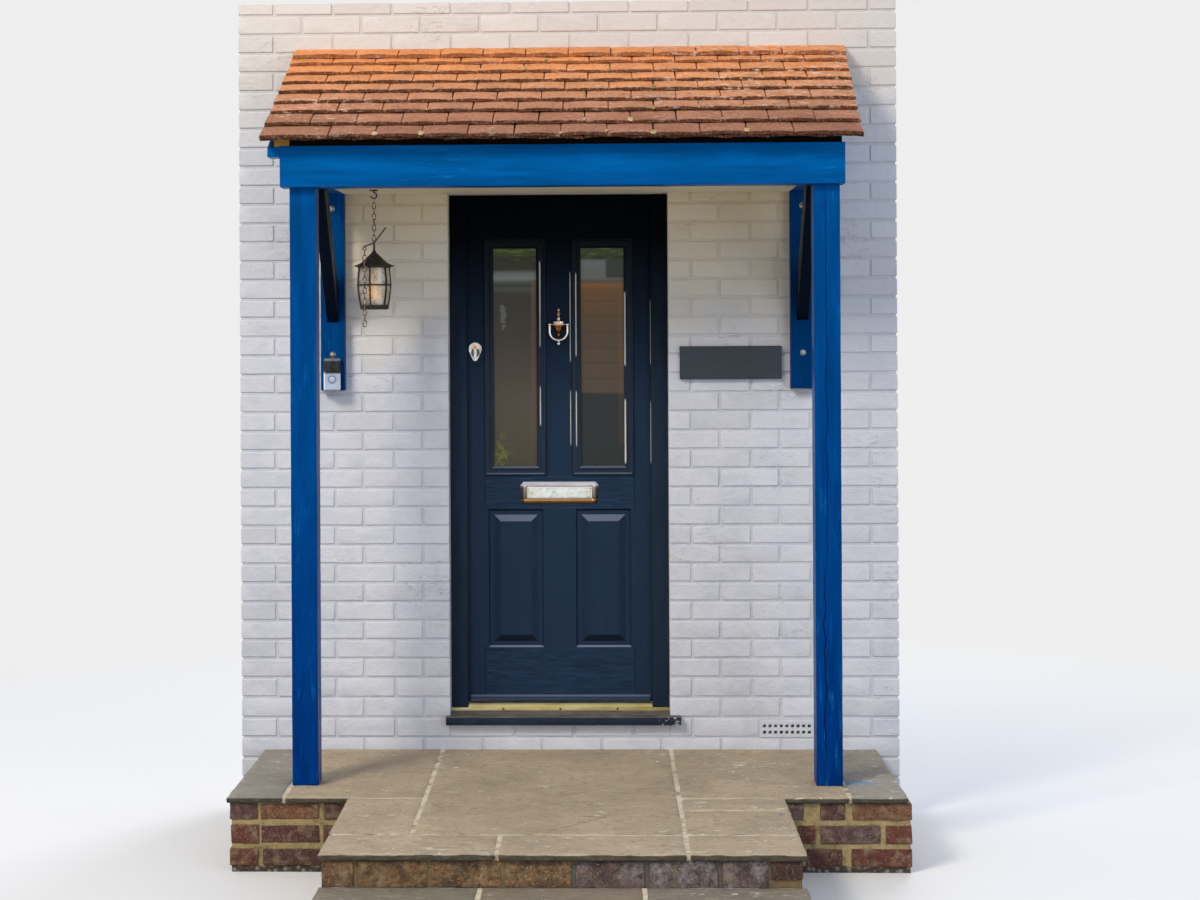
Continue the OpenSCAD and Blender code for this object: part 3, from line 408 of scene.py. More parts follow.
def dress(node, name, finish, body, width=0.0, segments=2, angle=30.0, sharp=21.0):
    """Finishes a copy of one CAD node, with its edges rounded by a width."""
    bm = copied(node)
    if width:
        round_edges(bm, width, segments, angle)
    return piece(name, bm, finish, body, [node], sharp)


def slice_along(bm, axis, step):
    """Cuts a mesh across an axis at even steps, so that it can wander."""
    low = min(v.co[axis] for v in bm.verts)
    high = max(v.co[axis] for v in bm.verts)
    count = max(1, round((high - low) / step))
    normal = Vector((0, 0, 0))
    normal[axis] = 1.0
    for i in range(1, count):
        point = normal * (low + (high - low) * i / count)
        geometry = bm.verts[:] + bm.edges[:] + bm.faces[:]
        bmesh.ops.bisect_plane(bm, geom=geometry, dist=1e-6, plane_co=point, plane_no=normal)
    return bm


def wander(bm, amount, scale, seed=0.0):
    """Moves every vertex a little by smooth noise."""
    shift = Vector((seed, -seed, seed * 0.5))
    for v in bm.verts:
        v.co += noise.noise_vector(v.co * scale + shift) * amount
    return bm


def box_mesh(low, high):
    """A closed box between two corners."""
    bm = bmesh.new()
    middle = (Vector(low) + Vector(high)) / 2
    matrix = Matrix.Translation(middle) @ Matrix.Diagonal((*(Vector(high) - Vector(low)), 1.0))
    bmesh.ops.create_cube(bm, size=1.0, matrix=matrix)
    return bm


def join(bm, other, matrix=Matrix.Identity(4)):
    """Adds another bmesh to one and frees it."""
    mesh = bpy.data.meshes.new("part")
    other.to_mesh(mesh)
    other.free()
    mesh.transform(matrix)
    bm.from_mesh(mesh)
    bpy.data.meshes.remove(mesh)
    return bm


# Laying repeated pieces with Geometry Nodes


def laying_tree():
    """Node tree that lays one unit on every point, scaled, turned and worn, then makes it real."""
    found = bpy.data.node_groups.get("lay_units")
    if found:
        return found
    tree = bpy.data.node_groups.new("lay_units", "GeometryNodeTree")
    sockets = [
        ("Geometry", "NodeSocketGeometry"), ("Unit", "NodeSocketObject"), ("Material", "NodeSocketMaterial"),
        ("Tilt", "NodeSocketFloat"), ("Wear", "NodeSocketFloat"), ("Wear Scale", "NodeSocketFloat"),
        ("Seed", "NodeSocketInt"),
    ]
    for label, kind in sockets:
        tree.interface.new_socket(name=label, in_out="INPUT", socket_type=kind)
    tree.interface.new_socket(name="Geometry", in_out="OUTPUT", socket_type="NodeSocketGeometry")

    add = functools.partial(add_node, tree)
    given = add("NodeGroupInput").outputs
    unit = add("GeometryNodeObjectInfo", {"Object": given["Unit"]}).outputs["Geometry"]
    scale, turn = [
        add("GeometryNodeInputNamedAttribute", {"Name": label}, data_type="FLOAT_VECTOR").outputs[0]
        for label in ("extent", "turn")
    ]
    limits = {0: (-1, -1, -1), 1: (1, 1, 1), "Seed": given["Seed"]}
    chance = add("FunctionNodeRandomValue", limits, data_type="FLOAT_VECTOR").outputs[0]
    tilt = add("ShaderNodeVectorMath", {0: chance, "Scale": given["Tilt"]}, operation="SCALE").outputs[0]
    turned_by = add("ShaderNodeVectorMath", {0: turn, 1: tilt}, operation="ADD").outputs[0]
    laid = {"Points": given["Geometry"], "Instance": unit, "Rotation": turned_by, "Scale": scale}
    units = add("GeometryNodeInstanceOnPoints", laid).outputs["Instances"]
    real = add("GeometryNodeRealizeInstances", {"Geometry": units}).outputs["Geometry"]
    grain = add("ShaderNodeTexNoise", {"Scale": given["Wear Scale"], "Detail": 2.0}).outputs["Fac"]
    centred = add("ShaderNodeMath", {0: grain, 1: 0.5}, operation="SUBTRACT").outputs[0]
    depth = add("ShaderNodeMath", {0: centred, 1: given["Wear"]}, operation="MULTIPLY").outputs[0]
    normal = add("GeometryNodeInputNormal").outputs["Normal"]
    offset = add("ShaderNodeVectorMath", {0: normal, "Scale": depth}, operation="SCALE").outputs[0]
    worn = add("GeometryNodeSetPosition", {"Geometry": real, "Offset": offset}).outputs["Geometry"]
    coated = add("GeometryNodeSetMaterial", {"Geometry": worn, "Material": given["Material"]})
    tree.links.new(coated.outputs["Geometry"], add("NodeGroupOutput").inputs["Geometry"])
    return tree


def lay(name, unit, points, material, body, nodes=(), tilt=0.0, wear=0.0, wear_scale=20.0, seed=1):
    """Lays a unit mesh at points of (place, extent, turn, tone) and returns the finished piece."""
    ground = bpy.data.meshes.new(name + "_points")
    ground.from_pydata([p[0] for p in points], [], [])
    for index, (label, kind, key) in enumerate(
        [("extent", "FLOAT_VECTOR", "vector"), ("turn", "FLOAT_VECTOR", "vector"), ("tone", "FLOAT", "value")]
    ):
        attribute = ground.attributes.new(label, kind, "POINT")
        for entry, point in zip(attribute.data, points):
            setattr(entry, key, point[index + 1])
    unit_mesh = bpy.data.meshes.new(name + "_unit")
    unit.to_mesh(unit_mesh)
    unit.free()
    unit_object = bpy.data.objects.new(name + "_unit", unit_mesh)
    carrier = bpy.data.objects.new(name + "_points", ground)
    scene = bpy.context.scene.collection
    scene.objects.link(unit_object)
    scene.objects.link(carrier)
    modifier = carrier.modifiers.new("lay", "NODES")
    modifier.node_group = laying_tree()
    values = {"Unit": unit_object, "Material": material, "Tilt": tilt, "Wear": wear}
    values.update({"Wear Scale": wear_scale, "Seed": seed})
    for item in modifier.node_group.interface.items_tree:
        if item.in_out == "INPUT" and item.name in values:
            modifier[item.identifier] = values[item.name]
    graph = bpy.context.evaluated_depsgraph_get()
    graph.update()
    mesh = bpy.data.meshes.new_from_object(carrier.evaluated_get(graph), depsgraph=graph)
    carrier.modifiers.clear()
    bpy.data.objects.remove(carrier)
    bpy.data.objects.remove(unit_object)
    return finished(name, mesh, material, body, nodes)


def brick_unit(length, depth, height, radius, cuts=(5, 1, 2)):
    """A rounded brick scaled to a unit cube, with enough vertices to wear unevenly."""
    bm = box_mesh((-length / 2, -depth / 2, -height / 2), (length / 2, depth / 2, height / 2))
    round_edges(bm, radius, 2)
    for axis, count in enumerate(cuts):
        if count > 1:
            slice_along(bm, axis, (length, depth, height)[axis] / count)
    bmesh.ops.scale(bm, vec=(1 / length, 1 / depth, 1 / height), verts=bm.verts)
    return bm


def block_point(low, high, tone, turn=(0.0, 0.0, 0.0)):
    """One entry for lay(): a unit cube stretched between two corners."""
    low, high = Vector(low), Vector(high)
    return ((low + high) / 2, high - low, turn, tone)


# Finishes


def wall_paint(name="wall_paint", level=1.0):
    """White masonry paint over brick: warmer at the top as painted sunlight, cooler lower down as painted
    shade, cream under the ceiling, with pits and flaked lines.
    """
    masonry = settings("masonry")
    white = shade(masonry.wall_paint, level)
    f = Finish(name, roughness=0.6, specular_ior_level=0.3)
    f.start(f.noise(2.2, 6.0, 0.6), (0.3, shade(white, 0.93)), (0.5, white), (0.72, shade(white, 1.04)))
    # Painted sunlight: a warmer white over the top of the wall.
    f.cover(f.span(f.z, 2.6, 2.95, 0.0, 0.85), shade(linear("d9d2c8"), level))
    # Painted shade: cool blue-grey patches, stronger lower down the wall.
    cool = f.span(f.noise(7.0, 3.0, 0.5, distortion=0.6), 0.45, 0.75)
    f.cover(f.times(cool, f.span(f.z, 2.6, 1.6, 0.0, 0.3)), "aab3c4")
    uneven = f.span(f.noise(3.0, 4.0), 0.3, 0.7, -0.12, 0.12)
    sheltered = f.span(f.calc("ADD", f.z, uneven), 1.75, 2.4, 0.0, 0.95)
    sheltered = f.times(sheltered, f.band(f.x, -0.95, 0.95, 0.02), f.span(f.z, 2.47, 2.46))
    f.cover(sheltered, shade(masonry.shelter_paint, level))
    f.cover(f.times(f.span(f.cells(90.0), 0.1, 0.04), f.span(f.noise(9.0), 0.54, 0.6)), "7c776e")
    flakes = f.span(f.apart(f.noise(9.0, 4.0, 0.6, stretch=(0.7, 1.0, 2.6)), 0.5), 0.006, 0.0)
    flakes = f.times(flakes, f.span(f.noise(2.6, 3.0), 0.56, 0.64))
    f.cover(f.times(flakes, 0.7), "6f6c68")
    f.tone(f.span(f.value("tone"), 0.0, 1.0, 0.95, 1.03))
    f.bump(f.noise(30.0, 6.0, 0.65), 0.005, 0.9)
    f.bump(f.noise(200.0, 4.0, 0.65), 0.0012, 0.8)
    f.bump(flakes, 0.0015, 0.5)
    return f.done()


def plaster():
    """Trowelled plaster on the inner side of the wall."""
    f = Finish("plaster", roughness=0.8)
    f.start(f.noise(1.8, 5.0), (0.35, "d4cfc3"), (0.65, "e2ddd2"))
    f.bump(f.noise(6.0, 6.0, 0.65, distortion=0.4), 0.003, 0.5)
    return f.done()


def slate():
    """Riven slate with a faint bloom."""
    tint = settings("masonry").slate
    f = Finish("slate", roughness=0.55)
    layers = f.noise(9.0, 7.0, 0.6, stretch=(1.0, 1.0, 2.2), distortion=0.5)
    f.start(layers, (0.3, shade(tint, 0.75)), (0.55, tint), (0.8, shade(tint, 1.5)))
    f.rough(f.span(layers, 0.3, 0.8, 0.45, 0.7))
    f.bump(layers, 0.003, 0.8)
    f.bump(f.noise(160.0, 3.0), 0.0004, 0.6)
    return f.done()


def old_brick():
    """Worn stock bricks from purple and red to buff, by each brick's own tone, with limewash and soot."""
    f = Finish("old_brick", roughness=0.9, specular_ior_level=0.25)
    tone = f.value("tone")
    f.start(
        tone, (0.0, "75696a"), (0.15, "604440"), (0.35, "643e38"), (0.55, "764536"),
        (0.72, "80593f"), (0.86, "8d6d4c"), (1.0, "99764d"),
    )
    patches = f.noise(22.0, 6.0, 0.7)
    f.cover(f.span(patches, 0.48, 0.7, 0.0, 0.75), "a08f70")
    chalk = f.times(f.span(f.noise(14.0, 6.0, 0.75), 0.46, 0.6), f.span(tone, 0.14, 0.02))
    f.cover(chalk, "aaa5a2")
    f.cover(f.span(f.noise(50.0, 5.0, 0.7), 0.5, 0.65, 0.0, 0.75), "40302a")
    riser = f.span(f.y, -0.785, -0.795)
    soot = f.times(riser, f.span(f.noise(9.0, 6.0, 0.75), 0.45, 0.62), 0.75)
    f.cover(soot, "3d3128")
    specks = f.times(f.span(f.noise(160.0, 3.0, 0.6), 0.6, 0.7), 0.7)
    f.cover(specks, "c4b49a")
    f.bump(f.noise(45.0, 6.0, 0.75), 0.009, 1.0)
    f.bump(f.noise(300.0, 3.0), 0.0012, 0.8)
    return f.done()


def mortar():
    """Sandy lime mortar, dirtier in the riser, with grey rubble along the ground."""
    tint = settings("masonry").mortar
    f = Finish("mortar", roughness=0.95, specular_ior_level=0.2)
    f.start(f.noise(18.0, 6.0, 0.7), (0.3, shade(tint, 0.45)), (0.5, tint), (0.75, shade(tint, 1.3)))
    f.cover(f.span(f.noise(75.0, 4.0, 0.7), 0.55, 0.7, 0.0, 0.7), "594a33")
    riser = f.times(f.span(f.y, -0.77, -0.79), f.band(f.x, -0.07, 0.66, 0.03))
    f.cover(f.span(f.y, -0.77, -0.79, 0.0, 0.7), "5d4c36")
    f.cover(f.times(riser, f.span(f.noise(30.0, 4.0), 0.3, 0.6, 0.5, 1.0)), "625c58")
    stones = f.ramp(f.cells(45.0), (0.1, "98918a"), (0.3, "7d7468"), (0.45, "514940"))
    low = f.span(f.calc("ADD", f.z, f.span(f.noise(25.0), 0.3, 0.7, -0.006, 0.006)), 0.028, 0.02)
    f.cover(low, stones)
    f.bump(f.noise(50.0, 6.0, 0.7), 0.008, 0.9)
    f.bump(f.times(f.cells(45.0), low), 0.012, 0.8)
    return f.done()


def pointing():
    """Pale cement pointing between the flags, dirty in places."""
    f = Finish("pointing", roughness=0.92, specular_ior_level=0.2)
    f.start(f.noise(14.0, 6.0, 0.7), (0.3, "8f816b"), (0.5, "d0c3aa"), (0.75, "e0d6c2"))
    dirt = f.span(f.noise(5.0, 4.0, 0.6), 0.56, 0.66, 0.0, 0.8)
    f.cover(dirt, "5d5340")
    f.bump(f.noise(70.0, 6.0, 0.7), 0.004, 0.9)
    return f.done()


def flagstone():
    """Riven sandstone flags: grey on the wings and step, warm in the middle, with lichen, and painted shade
    on their noses.
    """
    f = Finish("flagstone", roughness=0.86, specular_ior_level=0.25)
    f.start(f.value("tone"), (0.0, "9b978e"), (0.3, "766f60"), (0.7, "aa9a80"), (1.0, "b09f86"))
    f.tone(f.span(f.noise(3.0, 5.0, 0.6, distortion=0.5), 0.28, 0.75, 0.8, 1.2))
    streak = f.noise(13.0, 7.0, 0.7, stretch=(1.0, 2.2, 1.0), distortion=1.4)
    f.cover(f.span(streak, 0.52, 0.72, 0.0, 0.45), "b9ab97")
    f.cover(f.span(streak, 0.46, 0.3, 0.0, 0.55), "6f6454")
    f.cover(f.span(f.noise(42.0, 5.0, 0.7, distortion=0.8), 0.56, 0.7, 0.0, 0.6), "62584a")
    f.cover(f.patches(150.0, 4.0, 0.7, 0.6, 0.72, 0.45), "cfc3ae")
    front = f.calc("MAXIMUM", f.band(f.y, -0.77, -0.58, 0.04), f.span(f.x, 0.38, 0.42, 0.0, 0.7))
    rows = f.calc("ADD", f.noise(5.0, 3.0, 0.5, stretch=(0.8, 2.2, 1.0)), f.times(front, 0.1))
    lichen = f.span(f.noise(36.0, 5.0, 0.65, stretch=(0.75, 1.5, 1.0), distortion=0.5), 0.6, 0.64)
    f.cover(f.times(lichen, f.span(rows, 0.52, 0.62), 0.9), "e0dacd")
    upward = f.facing("Z")
    long_crack = f.crack(
        f.along((0.75, -0.66, 0.0)), f.along((0.66, 0.75, 0.0)),
        place=0.2995, width=0.0022, sway=0.014, start=-0.42, stop=-0.12,
    )
    short_crack = f.crack(
        f.along((0.539, -0.842, 0.0)), f.along((0.842, 0.539, 0.0)),
        place=-0.0305, width=0.003, sway=0.008, start=0.01, stop=0.105,
    )
    cracks = f.times(f.calc("MAXIMUM", long_crack, short_crack), f.span(upward, 0.6, 0.8))
    f.cover(f.times(cracks, 0.85), "3d352c")
    spilt_paint = f.smudge(centre=(1.045, 0.235, 0.27), reach=(0.075, 0.035, 0.1), ragged=1.0)
    f.cover(f.times(spilt_paint, 0.65), "5f8fb2")
    f.cover(f.smudge(centre=(0.741, -0.26, 0.27), reach=(0.014, 0.006, 0.1), ragged=0.4), "3b6ca3")
    # Painted shade: the flags' upright noses are darkened, with a rough grain in the dark.
    rough_edge = f.noise(30.0, 6.0, 0.7, stretch=(1.0, 1.0, 2.0))
    nose = f.ramp(rough_edge, (0.35, "27251f"), (0.6, "4b4537"), (0.75, "7b715e"))
    f.cover(f.times(f.span(upward, 0.72, 0.42), 0.92), nose)
    f.bump(f.noise(9.0, 7.0, 0.65, distortion=0.7), 0.010, 0.9)
    f.bump(streak, 0.005, 0.7)
    f.bump(f.noise(130.0, 4.0, 0.7), 0.0018, 0.9)
    f.bump(f.calc("SUBTRACT", 1.0, cracks), 0.003, 0.8)
    return f.done()


def blue_paint(name, axis, split=False, level=1.0):
    """Gloss paint brushed along the timber, darker near the ground as painted shade, with grain, nail holes
    and a split.
    """
    timber = settings("timber")
    stretch = [3.0, 3.0, 3.0]
    stretch[axis] = 0.3
    f = Finish(name, roughness=0.4, specular_ior_level=0.2)
    f.shader.inputs["Specular Tint"].default_value = (0.05, 0.35, 1.0, 1.0)
    # Painted shade: the blue darkens towards the ground and is brightest on the beam.
    up = f.span(f.z, 0.3, 2.6)
    f.start(up, (0.0, timber.low_shaded_paint), (0.45, "003f80"), (0.9, "004480"), (0.97, timber.paint))
    brush = f.noise(7.0, 5.0, 0.6, stretch=stretch, distortion=0.3)
    f.tone(f.span(brush, 0.3, 0.7, 0.72, 1.3))
    streaks = f.span(f.noise(30.0, 5.0, 0.7, stretch=stretch), 0.56, 0.72)
    f.cover(f.times(f.times(streaks, f.span(f.noise(2.0), 0.42, 0.6)), 0.6), "1a80c4")
    grain = f.noise(26.0, 6.0, 0.65, stretch=stretch, distortion=0.6)
    f.cover(f.span(grain, 0.6, 0.74, 0.0, 0.45), "00234c")
    f.cover(f.times(f.span(f.cells(5.0), 0.03, 0.02), f.span(f.noise(4.0), 0.45, 0.5)), "101418")
    # Painted shade: sheltered wall posts and braces are darkened by their level.
    f.tone(level)
    f.bump(grain, 0.002, 0.7)
    f.bump(f.noise(60.0, 4.0, 0.6, stretch=stretch), 0.0008, 0.7)
    if split:
        wide = f.crack(f.x, f.z, place=0.938, width=0.0022, sway=0.014, start=0.40, stop=1.04)
        fine = f.crack(f.x, f.z, place=0.948, width=0.0014, sway=0.008, start=1.1, stop=2.4)
        shake = f.times(f.calc("MAXIMUM", wide, fine), f.span(f.facing("Y"), -0.6, -0.8))
        f.cover(shake, "020a18")
        f.bump(f.calc("SUBTRACT", 1.0, shake), 0.003, 1.0)
    f.rough(f.span(brush, 0.3, 0.7, 0.5, 0.32))
    return f.done()


def paint_along(axis, split=False, level=1.0):
    """Blue paint whose brush marks run along one axis; a level under 1 darkens sheltered timbers as painted
    shade.
    """
    name = "blue_paint_" + "xyz"[axis] + ("_split" if split else "") + (f"_{level:.2f}" if level < 1 else "")
    return bpy.data.materials.get(name) or blue_paint(name, axis, split, level)


def ceiling_paint():
    """Cream paint on the ceiling board."""
    tint = settings("timber").ceiling
    f = Finish("ceiling_paint", roughness=0.6)
    f.start(f.noise(3.0, 4.0), (0.35, shade(tint, 0.9)), (0.65, tint))
    f.bump(f.noise(20.0, 4.0, stretch=(0.3, 3.0, 3.0)), 0.001, 0.5)
    return f.done()


def bare_timber():
    """Sawn softwood of the battens, dull with age."""
    f = Finish("bare_timber", roughness=0.9)
    grain = f.noise(12.0, 5.0, 0.65, stretch=(0.2, 3.0, 3.0), distortion=1.0)
    f.start(grain, (0.3, "5b4632"), (0.6, "8c7150"), (0.8, "a58a66"))
    f.bump(grain, 0.002, 0.7)
    return f.done()


def felt_and_painted_shade():
    """Black felt drip under the eave tiles, near black as painted shade there, with a lump of yellow mastic
    at its left end.
    """
    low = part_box("front_beam")[0]
    f = Finish("felt_and_painted_shade", roughness=0.95, specular_ior_level=0.1)
    f.start(f.noise(40.0, 5.0, 0.7), (0.35, "050404"), (0.7, "1d0f0c"))
    f.cover(f.calc("LESS_THAN", f.x, low.x + 0.035), "c09440")
    f.bump(f.noise(60.0, 5.0, 0.7), 0.003, 0.9)
    return f.done()


def clay():
    """Sanded clay: orange at the top, browner to the eave, with lichen, tan moss, tails darkened as soot and
    painted shade, and the eave course darkened as painted shade.
    """
    f = Finish("clay", roughness=0.92, specular_ior_level=0.2)
    low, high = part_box("roof_tiles")
    up = f.span(f.z, low.z + 0.04, high.z - 0.04)
    uneven = f.calc("ADD", up, f.span(f.noise(2.6, 4.0), 0.3, 0.7, -0.1, 0.1))
    clean = settings("roof").clay
    f.start(uneven, (0.0, "976752"), (0.2, "a36f56"), (0.5, "ca8d66"), (0.78, "e2955d"), (1.0, clean))
    tone = f.value("tone")
    # Painted shade: the eave course, whose tone is below 0, is darkened to about a third.
    f.tone(f.times(f.span(tone, -1.0, 0.0, 0.18, 1.0), f.span(tone, 0.0, 1.0, 0.93, 1.07)))
    f.tone(f.span(f.noise(9.0, 5.0, 0.65), 0.3, 0.7, 0.82, 1.16))
    f.cover(f.patches(150.0, 4.0, 0.7, 0.5, 0.75, 0.55), "edb688")
    f.cover(f.patches(60.0, 6.0, 0.75, 0.5, 0.68, 0.75), "754730")
    # The tails are darkened as soot and as painted shade.
    tail = f.calc("ADD", f.value("tail"), f.span(f.noise(70.0, 5.0, 0.75), 0.3, 0.7, -0.45, 0.45))
    tail_soot_and_shade = f.times(f.span(tail, 0.62, 0.9), f.span(up, 0.75, 1.0, 0.95, 0.6))
    f.cover(tail_soot_and_shade, f.ramp(f.noise(150.0, 4.0, 0.7), (0.38, "2a1a13"), (0.6, "6f4631"), (0.72, "b98660")))
    right = f.times(f.span(f.x, 0.0, 0.75), f.span(up, 0.25, 0.45))
    left = f.smudge(centre=(-0.93, 0.2, low.z + 0.17), reach=(0.2, 0.3, 0.07), ragged=0.4)
    place = f.calc("ADD", f.calc("MAXIMUM", right, left), f.span(f.noise(5.0, 3.0), 0.46, 0.6, 0.0, 0.45))
    lichen = f.span(f.noise(48.0, 6.0, 0.75, stretch=(0.55, 1.0, 1.0)), 0.54, 0.62)
    f.cover(f.times(lichen, place, 0.75), "e6cdb8")
    mossy = f.times(f.patches(60.0, 5.0, 0.7, 0.58, 0.64), f.span(f.noise(7.0), 0.54, 0.62))
    f.cover(f.times(f.times(mossy, f.span(up, 0.85, 0.4)), 0.8), "93854a")
    f.bump(f.noise(45.0, 5.0, 0.7), 0.004, 0.9)
    f.bump(f.noise(260.0, 4.0, 0.7), 0.002, 1.0)
    return f.done()


def moss():
    """Cushions of yellow-green moss and dry tan lichen in the tiles' joints."""
    f = Finish("moss", roughness=1.0, specular_ior_level=0.1)
    f.start(f.noise(60.0, 4.0, 0.7), (0.34, "7d6a38"), (0.48, "bb9c66"), (0.66, "d9c3a2"))
    f.bump(f.noise(300.0, 4.0, 0.7), 0.003, 1.0)
    return f.done()


def door_paint():
    """Dark wood-grained skin: grain up the stiles, along the rails, ledges paler as dust and a painted sheen,
    faces turned down or sideways darker as painted shade, painted shade to near black at the top.
    """
    tint = shade(settings("door").paint, 0.9)
    low_rail_top, lock_rail_from, lock_rail_to, stile = 0.656, 1.207, 1.342, 0.299
    f = Finish("door_paint", roughness=0.4)
    upright = f.noise(16.0, 6.0, 0.65, stretch=(4.5, 4.5, 0.4), distortion=0.8)
    level = f.noise(26.0, 6.0, 0.7, stretch=(0.35, 4.5, 4.5), distortion=1.0)
    across = f.apart(f.x, DOOR_X)
    low_rail = f.calc("LESS_THAN", f.z, low_rail_top)
    either = f.calc("MAXIMUM", low_rail, f.band(f.z, lock_rail_from, lock_rail_to, 0.0005))
    rails = f.times(f.calc("LESS_THAN", across, stile), either)
    on_stile = f.ramp(upright, (0.3, shade(tint, 0.92)), (0.52, tint), (0.72, shade(tint, 1.1)))
    on_rail = f.ramp(level, (0.3, shade(tint, 0.62)), (0.52, shade(tint, 1.1)), (0.7, shade(tint, 1.9)))
    f.base = f.blend(rails, on_stile, on_rail)
    seams = f.times(f.band(across, stile - 0.0012, stile + 0.0012, 0.0004), either)
    f.cover(f.times(seams, 0.75), "0a1118")
    up = f.facing("Z")
    # Dust and a painted sky sheen: faces turned up are paler.
    f.cover(f.span(up, 0.06, 0.14, 0.0, 0.45), "6a7590")
    f.cover(f.span(up, 0.2, 0.4, 0.0, 0.5), "8f97ab")
    # Painted shade: faces turned down or sideways are darker.
    f.tone(f.span(up, -0.06, -0.14, 1.0, 0.4))
    f.tone(f.span(f.calc("ABSOLUTE", f.facing("X")), 0.06, 0.14, 1.0, 0.8))
    # Painted shade under the canopy, to near black at the top.
    f.tone(f.span(f.z, 1.7, CANOPY_SHADE, 1.0, 0.08))
    glints(f, (0.0105, 0.0016, 1.80, 2.155, 1.465, 1.68), (0.3325, 0.0028, 1.787, 2.039, 1.393, 1.637))
    f.feed("Specular IOR Level", f.span(f.z, 1.6, CANOPY_SHADE, 0.1, 0.02))
    grain = f.add("ShaderNodeMix", {0: rails, 2: upright, 3: level}, data_type="FLOAT").outputs[0]
    f.rough(f.span(grain, 0.3, 0.7, 0.5, 0.4))
    f.bump(grain, 0.001, 0.6)
    f.bump(f.calc("SUBTRACT", 1.0, seams), 0.001, 0.8)
    f.bump(f.noise(300.0, 2.0), 0.0002, 0.5)
    return f.done()


def frame_paint():
    """Smooth dark paint of the door frame, with painted shade to near black under the canopy."""
    tint = settings("door").paint
    f = Finish("frame_paint", roughness=0.4)
    brush = f.noise(9.0, 4.0, 0.6, stretch=(3.0, 3.0, 0.4))
    f.start(brush, (0.3, shade(tint, 0.5)), (0.7, shade(tint, 0.8)))
    # Painted shade under the canopy.
    f.tone(f.span(f.z, 1.75, CANOPY_SHADE, 1.0, 0.08))
    f.feed("Specular IOR Level", f.span(f.z, 1.6, CANOPY_SHADE, 0.14, 0.02))
    f.rough(f.span(brush, 0.3, 0.7, 0.48, 0.34))
    f.bump(brush, 0.0007, 0.5)
    return f.done()


def glints(f, *places):
    """Thin pale lines of light on upright edges: each has its x, half width, and heights from and to."""
    for x, half, *heights in places:
        for low, high in zip(heights[::2], heights[1::2]):
            line = f.times(f.band(f.x, x - half, x + half, 0.0008), f.band(f.z, low, high, 0.006))
            line = f.times(line, f.span(f.noise(9.0, 3.0, stretch=(1.0, 1.0, 0.4)), 0.36, 0.5, 0.55, 1.0))
            f.cover(f.times(line, f.span(f.facing("Y"), 0.3, 0.1)), "cfd2c4")


def bead_paint():
    """Glossy mouldings round the glass, dark on their faces, with painted highlights on their ledges and
    along the weather bar's top, painted shade towards the top, and lines of light.
    """
    tint = settings("door").paint
    bar_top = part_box("weather_bar")[1].z
    f = Finish("bead_paint", roughness=0.2)
    grain = f.noise(20.0, 5.0, 0.6, stretch=(3.0, 3.0, 0.3))
    f.start(grain, (0.3, shade(tint, 0.45)), (0.7, shade(tint, 0.8)))
    # Painted highlight on ledges that face up.
    ledge_highlight = f.times(f.span(f.facing("Z"), 0.15, 0.5, 0.0, 0.75), f.span(f.z, 0.46, 0.475, 0.2, 1.0))
    f.cover(ledge_highlight, "5f6b80")
    # Painted highlight along the top of the weather bar.
    f.cover(f.times(f.band(f.z, bar_top - 0.008, bar_top + 0.001, 0.001), 0.8), "5a6478")
    # Painted shade under the canopy.
    f.tone(f.span(f.z, 1.75, CANOPY_SHADE, 1.0, 0.12))
    glints(
        f, (-0.1105, 0.0022, 1.861, 2.197, 1.545, 1.697), (0.0335, 0.002, 1.821, 2.149, 1.461, 1.677),
        (0.229, 0.0028, 1.783, 2.073, 1.393, 1.645),
    )
    f.feed("Specular IOR Level", f.span(f.z, 1.6, CANOPY_SHADE, 0.2, 0.05))
    f.rough(f.span(grain, 0.3, 0.7, 0.3, 0.14))
    f.bump(grain, 0.0004, 0.5)
    return f.done()


def sill_paint():
    """Dark nose and worn grey top of the sill, chipped at its right end."""
    f = Finish("sill_paint", roughness=0.55, specular_ior_level=0.3)
    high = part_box("door_sill")[1]
    worn = f.noise(22.0, 5.0, 0.65, stretch=(0.6, 1.0, 1.0))
    top = f.ramp(worn, (0.3, "474341"), (0.5, "5f5b58"), (0.7, "746e69"))
    hairline = f.crack(f.x, f.y, DOOR_X + 0.11, 0.0012, 0.003, 0.7, 0.9)
    top = f.blend(hairline, top, "2e2926")
    nose = f.ramp(worn, (0.3, "0a1627"), (0.6, "122338"), (0.74, "283a4e"))
    at_end = f.span(f.x, high.x - 0.11, high.x - 0.03, 0.70, 0.55)
    chips = f.calc("GREATER_THAN", f.noise(60.0, 5.0, 0.7, stretch=(1.0, 1.0, 1.6)), at_end)
    nose = f.blend(chips, nose, "c4c2bb")
    f.base = f.blend(f.span(f.facing("Z"), 0.4, 0.7), nose, top)
    f.bump(worn, 0.0016, 0.6)
    f.bump(chips, 0.002, 0.5)
    return f.done()


def metal(name, code, roughness, dirt=0.35, below=None):
    """Polished metal with fine scratches and dull patches, and a painted reflection of the ground where it
    faces down.
    """
    tint = linear(code)
    f = Finish(name, metallic=1.0, roughness=roughness)
    patches = f.noise(40.0, 5.0, 0.6)
    f.start(patches, (0.3, shade(tint, 1 - dirt)), (0.6, tint))
    # Painted reflection of the ground on faces turned down.
    if below:
        f.cover(f.span(f.facing("Z"), -0.1, -0.5), below)
    f.rough(f.span(patches, 0.3, 0.7, roughness + 0.15, roughness))
    f.bump(f.noise(220.0, 3.0, stretch=(0.5, 1.0, 2.0)), 0.0002, 0.4)
    return f.done()


